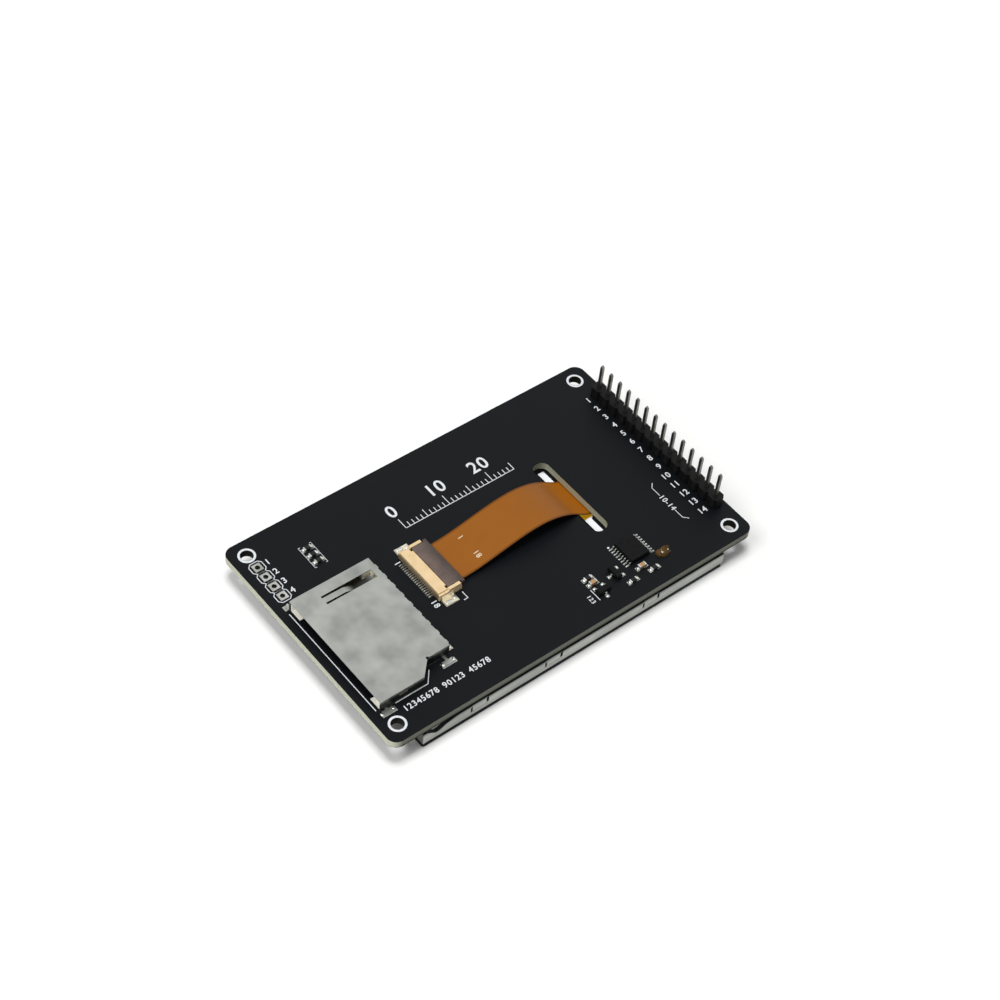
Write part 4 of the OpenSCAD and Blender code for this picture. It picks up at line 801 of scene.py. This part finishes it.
def print_pin_labels():
    """Prints the pin numbers beside the header and a bracket that groups the last five."""
    x0 = mm_box("header_strip")[0][0]
    (_, low, _), (_, high, _) = mm_box("header_pins")
    first = (low + high) / 2 + (PINS - 1) / 2 * PITCH
    marks = [ink_number(i + 1, x0 - 0.6, first - i * PITCH, height=1.25, align="RIGHT")
             for i in range(PINS)]
    # Each half of the bracket: where its hook starts, turns and ends at the number
    bracket, hook = x0 - 5.7, x0 - 4.85
    upper, lower = (-6.2, -7.1, -9.3), (-16.5, -15.6, -13.5)
    for start, corner, end in (upper, lower):
        marks.append(ink_line([(hook, start), (bracket, corner), (bracket, end)], width=0.16))
    marks.append(ink_number("10-14", bracket, (upper[-1] + lower[-1]) / 2, height=1.1, turn=-pi / 2))
    join(marks, "printed_pin_labels", "ink")


def print_count():
    """Prints a plain row of counting digits, in three groups, along the lower edge."""
    corner_x, corner_y, _ = mm_box("board")[0]
    x, y, step = corner_x + 6.25, corner_y + 4.9, 0.93
    places = [*range(0, 8), *range(9, 14), *range(15, 20)]
    marks = [ink_number((i + 1) % 10, x + place * step, y, height=1.15)
             for i, place in enumerate(places)]
    join(marks, "printed_count", "ink")


def print_ruler():
    """Prints a millimetre ruler with plain numbers over the flex."""
    x0, y0, length = -11.0, 11.1, 25
    line_w, tick_1, tick_5, tick_10 = 0.18, 1.1, 1.8, 2.4
    marks = []
    for mm in range(length + 1):
        tick = tick_10 if mm % 10 == 0 else tick_5 if mm % 5 == 0 else tick_1
        marks.append(ink_line([(x0 + mm, y0), (x0 + mm, y0 + tick)], line_w))
    marks.append(ink_line([(x0, y0), (x0 + length, y0)], line_w))
    marks += [ink_number(mm, x0 + mm, y0 + 4.4, height=2.7) for mm in range(0, length, 10)]
    join(marks, "printed_ruler", "ink")


# ---- Solder ----

def solder_bead():
    """Models one bead: a squashed ball cut off at the land."""
    bpy.ops.mesh.primitive_uv_sphere_add(segments=16, ring_count=10, radius=MM)
    bead = bpy.context.object
    bpy.ops.object.mode_set(mode="EDIT")
    bpy.ops.mesh.select_all(action="SELECT")
    bpy.ops.mesh.bisect(plane_co=(0, 0, 0), plane_no=(0, 0, 1), clear_inner=True, use_fill=True)
    bpy.ops.object.mode_set(mode="OBJECT")
    bpy.ops.object.shade_smooth_by_angle(angle=radians(60))
    return bead


def solder_joints():
    """Sets a bead at each chip end, lead, contact tail and foot."""
    bead = solder_bead()
    land = mm_box("tinned_pads")[1][2]
    joints = []

    def wet(x, y, size, z=land):
        """Sets one bead at a place, with its half length, half width and height in mm."""
        joints.append(copy_at(bead, (x, y, z), size))

    for (x0, y0, _), (x1, y1, _) in solids("resistor_bodies") + solids("capacitor_bodies"):
        wet(x0 - 0.38, (y0 + y1) / 2, (0.36, 0.42, 0.4))
        wet(x1 + 0.38, (y0 + y1) / 2, (0.36, 0.42, 0.4))
    near_side = mm_box("touch_controller")[0][0]
    for (x0, y0, _), (_, y1, _) in solids("controller_leads"):
        if x0 < near_side:
            wet(x0 + 0.07, (y0 + y1) / 2, (0.26, 0.15, 0.2))
    # A transistor has one lead on one of its long sides and two on the other
    for (x0, y0, _), (x1, y1, _) in solids("transistors"):
        x, y = (x0 + x1) / 2, (y0 + y1) / 2
        for off, along in ((-1.27, 0), (1.27, -0.95), (1.27, 0.95)):
            if y1 - y0 > x1 - x0:
                wet(x + off, y + along, (0.36, 0.3, 0.22))
            else:
                wet(x - along, y + off, (0.3, 0.36, 0.22))
    for (_, y0, _), (x1, y1, _) in solids("card_contacts_row"):
        wet(x1 - 0.25, (y0 + y1) / 2, (0.42, 0.36, 0.24))
    for (x0, y0, _), (_, y1, _) in solids("flex_contacts"):
        wet(x0 + 0.2, (y0 + y1) / 2, (0.24, 0.13, 0.16))
    (x0, y0, _), (x1, _, _) = mm_box("card_shell")
    for off in (-1.15, 1.15):
        wet(x1 - 1.35 + off, y0 + 2.7, (0.36, 0.5, 0.36))
        wet(x0 + 1.25 + off, y0 + 0.48, (0.3, 0.42, 0.28))
    (x0, y0, _), (x1, y1, _) = mm_box("flex_hold_downs")
    tab = land + 0.15
    for y, inward in ((y0 + 0.5, 0.25), (y1 - 0.5, -0.25)):
        wet(x0 + 0.85, y, (0.75, 0.42, 0.22), tab)
        wet(x1 - 0.4, y + inward, (0.36, 0.5, 0.2), tab)
    join(joints, "solder_joints", "solder")
    drop(bead)


def header_fillets():
    """Draws a hollow cone of solder down each header pin under the board."""
    (x0, y0, z0), (x1, y1, z1) = mm_box("header_solder")
    radius, rise = (x1 - x0) / 2, z1 - z0
    # Each step down the cone: its share of the height, and how far it draws in
    steps = ((0.06, 0.9), (0.14, 0.78), (0.25, 0.8), (0.3, 0.85), (0.25, 0.93))
    bpy.ops.mesh.primitive_circle_add(vertices=24, radius=radius * MM, fill_type="NGON")
    cone = bpy.context.object
    bpy.ops.object.mode_set(mode="EDIT")
    bpy.ops.mesh.select_all(action="SELECT")
    for share, squeeze in steps:
        bpy.ops.mesh.extrude_region_move(TRANSFORM_OT_translate={"value": (0, 0, -share * rise * MM)})
        bpy.ops.transform.resize(value=(squeeze, squeeze, 1), center_override=(0, 0, 0))
    bpy.ops.mesh.select_all(action="SELECT")
    bpy.ops.mesh.normals_make_consistent(inside=False)
    bpy.ops.object.mode_set(mode="OBJECT")
    bpy.ops.object.shade_smooth_by_angle(angle=radians(50))
    x, first = (x0 + x1) / 2, (y0 + y1) / 2 - (PINS - 1) / 2 * PITCH
    fillets = [copy_at(cone, (x, first + i * PITCH, z1)) for i in range(PINS)]
    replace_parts(join(fillets, "header_fillets", "solder"), "header_solder")
    drop(cone)


def side_barrels():
    """Lines the free holes with plated barrels that end in a ring under the board."""
    x, y, _ = (c / MM for c in MOUNTS["side_header"]["pos_m"])
    low = mm_box("board")[0][2]
    radius, ring_r, wall, lip = 0.49, 0.8575, 0.035, 0.03
    bpy.ops.mesh.primitive_cylinder_add(vertices=28, radius=radius * MM, depth=(TOP - low) * MM,
                                        end_fill_type="NOTHING")
    barrel = bpy.context.object
    bpy.ops.object.mode_set(mode="EDIT")
    mesh = bmesh.from_edit_mesh(barrel.data)
    for vert in mesh.verts:
        vert.select = vert.co.z < 0
    mesh.select_flush(True)
    bpy.ops.mesh.extrude_edges_move(TRANSFORM_OT_translate={"value": (0, 0, -lip * MM)})
    bpy.ops.transform.resize(value=(ring_r / radius, ring_r / radius, 1), center_override=(0, 0, 0))
    bpy.ops.object.mode_set(mode="OBJECT")
    plate = barrel.modifiers.new("plating", "SOLIDIFY")
    plate.thickness = wall * MM
    plate.offset = -1
    bpy.ops.object.modifier_apply(modifier=plate.name)
    bpy.ops.object.shade_smooth_by_angle(angle=radians(40))
    barrels = [copy_at(barrel, (x, y + (i - 1.5) * PITCH, (TOP + low) / 2)) for i in range(4)]
    join(barrels, "side_hole_barrels", "tin")
    drop(barrel)


def flux_pool():
    """Leaves a pool of amber flux over the capacitor beside the touch controller."""
    bead = solder_bead()
    (x0, y0, _), (x1, y1, _) = max(solids("capacitor_bodies"))
    x, y = (x0 + x1) / 2, (y0 + y1) / 2
    pools = [copy_at(bead, (x + 0.25, y + 0.1, TOP), (1.4, 0.95, 1.0), 0.35),
             copy_at(bead, (x - 0.75, y + 0.2, TOP), (0.8, 0.85, 0.9)),
             copy_at(bead, (x + 1.15, y + 0.45, TOP), (0.75, 0.5, 0.5), 0.6)]
    join(pools, "amber_flux_pool", "flux")
    drop(bead)


def panel_stubs():
    """Leaves the broken stubs that held the board in its production panel, in two pairs."""
    (_, _, z0), (_, y1, z1) = mm_box("board")
    length, width, height = 0.7, 0.24, (z1 - z0) * 0.94
    pairs, spread = (-34.5, 20.7), 0.5
    stubs = []
    for x in [middle + side * spread for middle in pairs for side in (-1, 1)]:
        bpy.ops.mesh.primitive_cube_add(size=MM, location=(x * MM, y1 * MM, (z0 + z1) / 2 * MM))
        stub = bpy.context.object
        stub.scale = (length, width, height)
        settle(stub)
        bpy.ops.object.mode_set(mode="EDIT")
        bpy.ops.mesh.select_all(action="SELECT")
        bpy.ops.mesh.bevel(offset=0.09 * MM, segments=2)
        bpy.ops.mesh.subdivide(number_cuts=1)
        bpy.ops.transform.vertex_random(offset=0.02 * MM, seed=int(abs(x)))
        bpy.ops.object.mode_set(mode="OBJECT")
        stubs.append(stub)
    join(stubs, "panel_stubs", "laminate")


def strip(low, high, edge):
    """Models a strip between two corners in mm, with eased edges."""
    middle = [(a + b) / 2 * MM for a, b in zip(low, high)]
    bpy.ops.mesh.primitive_cube_add(size=MM, location=middle)
    piece = bpy.context.object
    piece.scale = [b - a for a, b in zip(low, high)]
    settle(piece)
    bpy.ops.object.mode_set(mode="EDIT")
    bpy.ops.mesh.select_all(action="SELECT")
    bpy.ops.mesh.bevel(offset=edge * MM, segments=2)
    bpy.ops.object.mode_set(mode="OBJECT")
    return piece


def slot_strips():
    """Lays the foam's inner lip at two sides of the slot, and the amber tape that holds the flex down."""
    (_, _, z0), (_, _, z1) = mm_box("foam_tape")
    # The foam's window under the slot, how far the lip keeps off it, and where the lip's two legs end
    window_x0, window_x1, window_y = 16.1, 19.9, 9.9
    off, gap, leg_x, leg_y = 0.05, 0.03, 17.85, 9.3
    legs = [((window_x0 + off, off - window_y), (leg_x, window_y - off)),
            ((leg_x, leg_y), (window_x1 - off, window_y - off))]
    lips = [strip((*low, z0 + gap), (*high, z1 - gap), edge=0.06) for low, high in legs]
    join(lips, "foam_lip", "foam")
    # The tape's finish glows with painted light
    tape_t, tape_low, tape_high = 0.05, (17.9, -4.3), (21.4, -2.0)
    tape = strip((*tape_low, z0 + 0.01), (*tape_high, z0 + 0.01 + tape_t), edge=0.015)
    join([tape], "flex_tape", "amber_tape")


def panel_seal():
    """Runs a bead of black sealant round the touch panel, open where its flex comes out."""
    (_, _, rim), (x1, y1, _) = mm_box("steel_frame")
    in_x, in_y, _ = mm_box("touch_glass")[1]
    (_, tail_0, _), (_, tail_1, _) = mm_box("touch_flex")
    cut, room = 0.25, 0.3
    mid_x, mid_y = (x1 + in_x) / 2, (y1 + in_y) / 2
    run = [(mid_x, tail_1 + room), (mid_x, mid_y - cut), (mid_x - cut, mid_y), (cut - mid_x, mid_y),
           (-mid_x, mid_y - cut), (-mid_x, cut - mid_y), (cut - mid_x, -mid_y), (mid_x - cut, -mid_y),
           (mid_x, cut - mid_y), (mid_x, tail_0 - room)]
    seal = wire(run, x1 - in_x - 0.02, upright=rim - 0.04)
    seal.location.z = rim / 2 * MM
    join([settle(seal)], "panel_seal", "sealant")


# ---- Printing on the flex ----

def print_flex_marks():
    """Prints the first and last track number on the arch of the flex, draped over it."""
    film = bpy.data.objects["display_flex_film"]
    clear_of_arch = 5
    marks = []
    for digits, x, y in ((1, -5.1, 3.05), (18, -5.0, -1.7)):
        label = ink_number(digits, x, y, height=1.05, turn=-pi / 2, thick=0)
        label.location.z = clear_of_arch * MM
        settle(label)
        drape = label.modifiers.new("drape", "SHRINKWRAP")
        drape.target = film
        drape.wrap_method = "PROJECT"
        drape.use_project_z = True
        drape.use_negative_direction = True
        drape.use_positive_direction = False
        drape.offset = 0.012 * MM
        skin = label.modifiers.new("ink", "SOLIDIFY")
        skin.thickness = 0.02 * MM
        only(label)
        bpy.ops.object.modifier_apply(modifier=drape.name)
        bpy.ops.object.modifier_apply(modifier=skin.name)
        marks.append(label)
    join(marks, "printed_flex_numbers", "film_ink")


add_camera()
bpy.context.scene.view_settings.view_transform = "Standard"
add_world()
# The lamp overhead doesn't show in metal, so that flat sheet keeps its grey when seen from above
add_lamp("key_softbox", (-0.08, 0.0, 1.0), size=0.3, power=6.2, mirrored=False)
add_lamp("side_softbox", (-0.58, -0.03, 0.78), size=0.4, power=3.8)
add_floor()

for name, finish in PLAIN_NODES.items():
    for slot in frame["nodes"][name].material_slots:
        slot.material = FINISH[finish]
for name, (piece_name, finish, radius, body) in EASED_NODES.items():
    ease(name, piece_name, finish, radius, body)
print_hole_rings()
print_side_header()
print_socket_outline()
print_connector_marks()
print_part_marks()
print_pin_labels()
print_ruler()
print_count()
solder_joints()
header_fillets()
side_barrels()
flux_pool()
panel_stubs()
slot_strips()
panel_seal()
print_flex_marks()
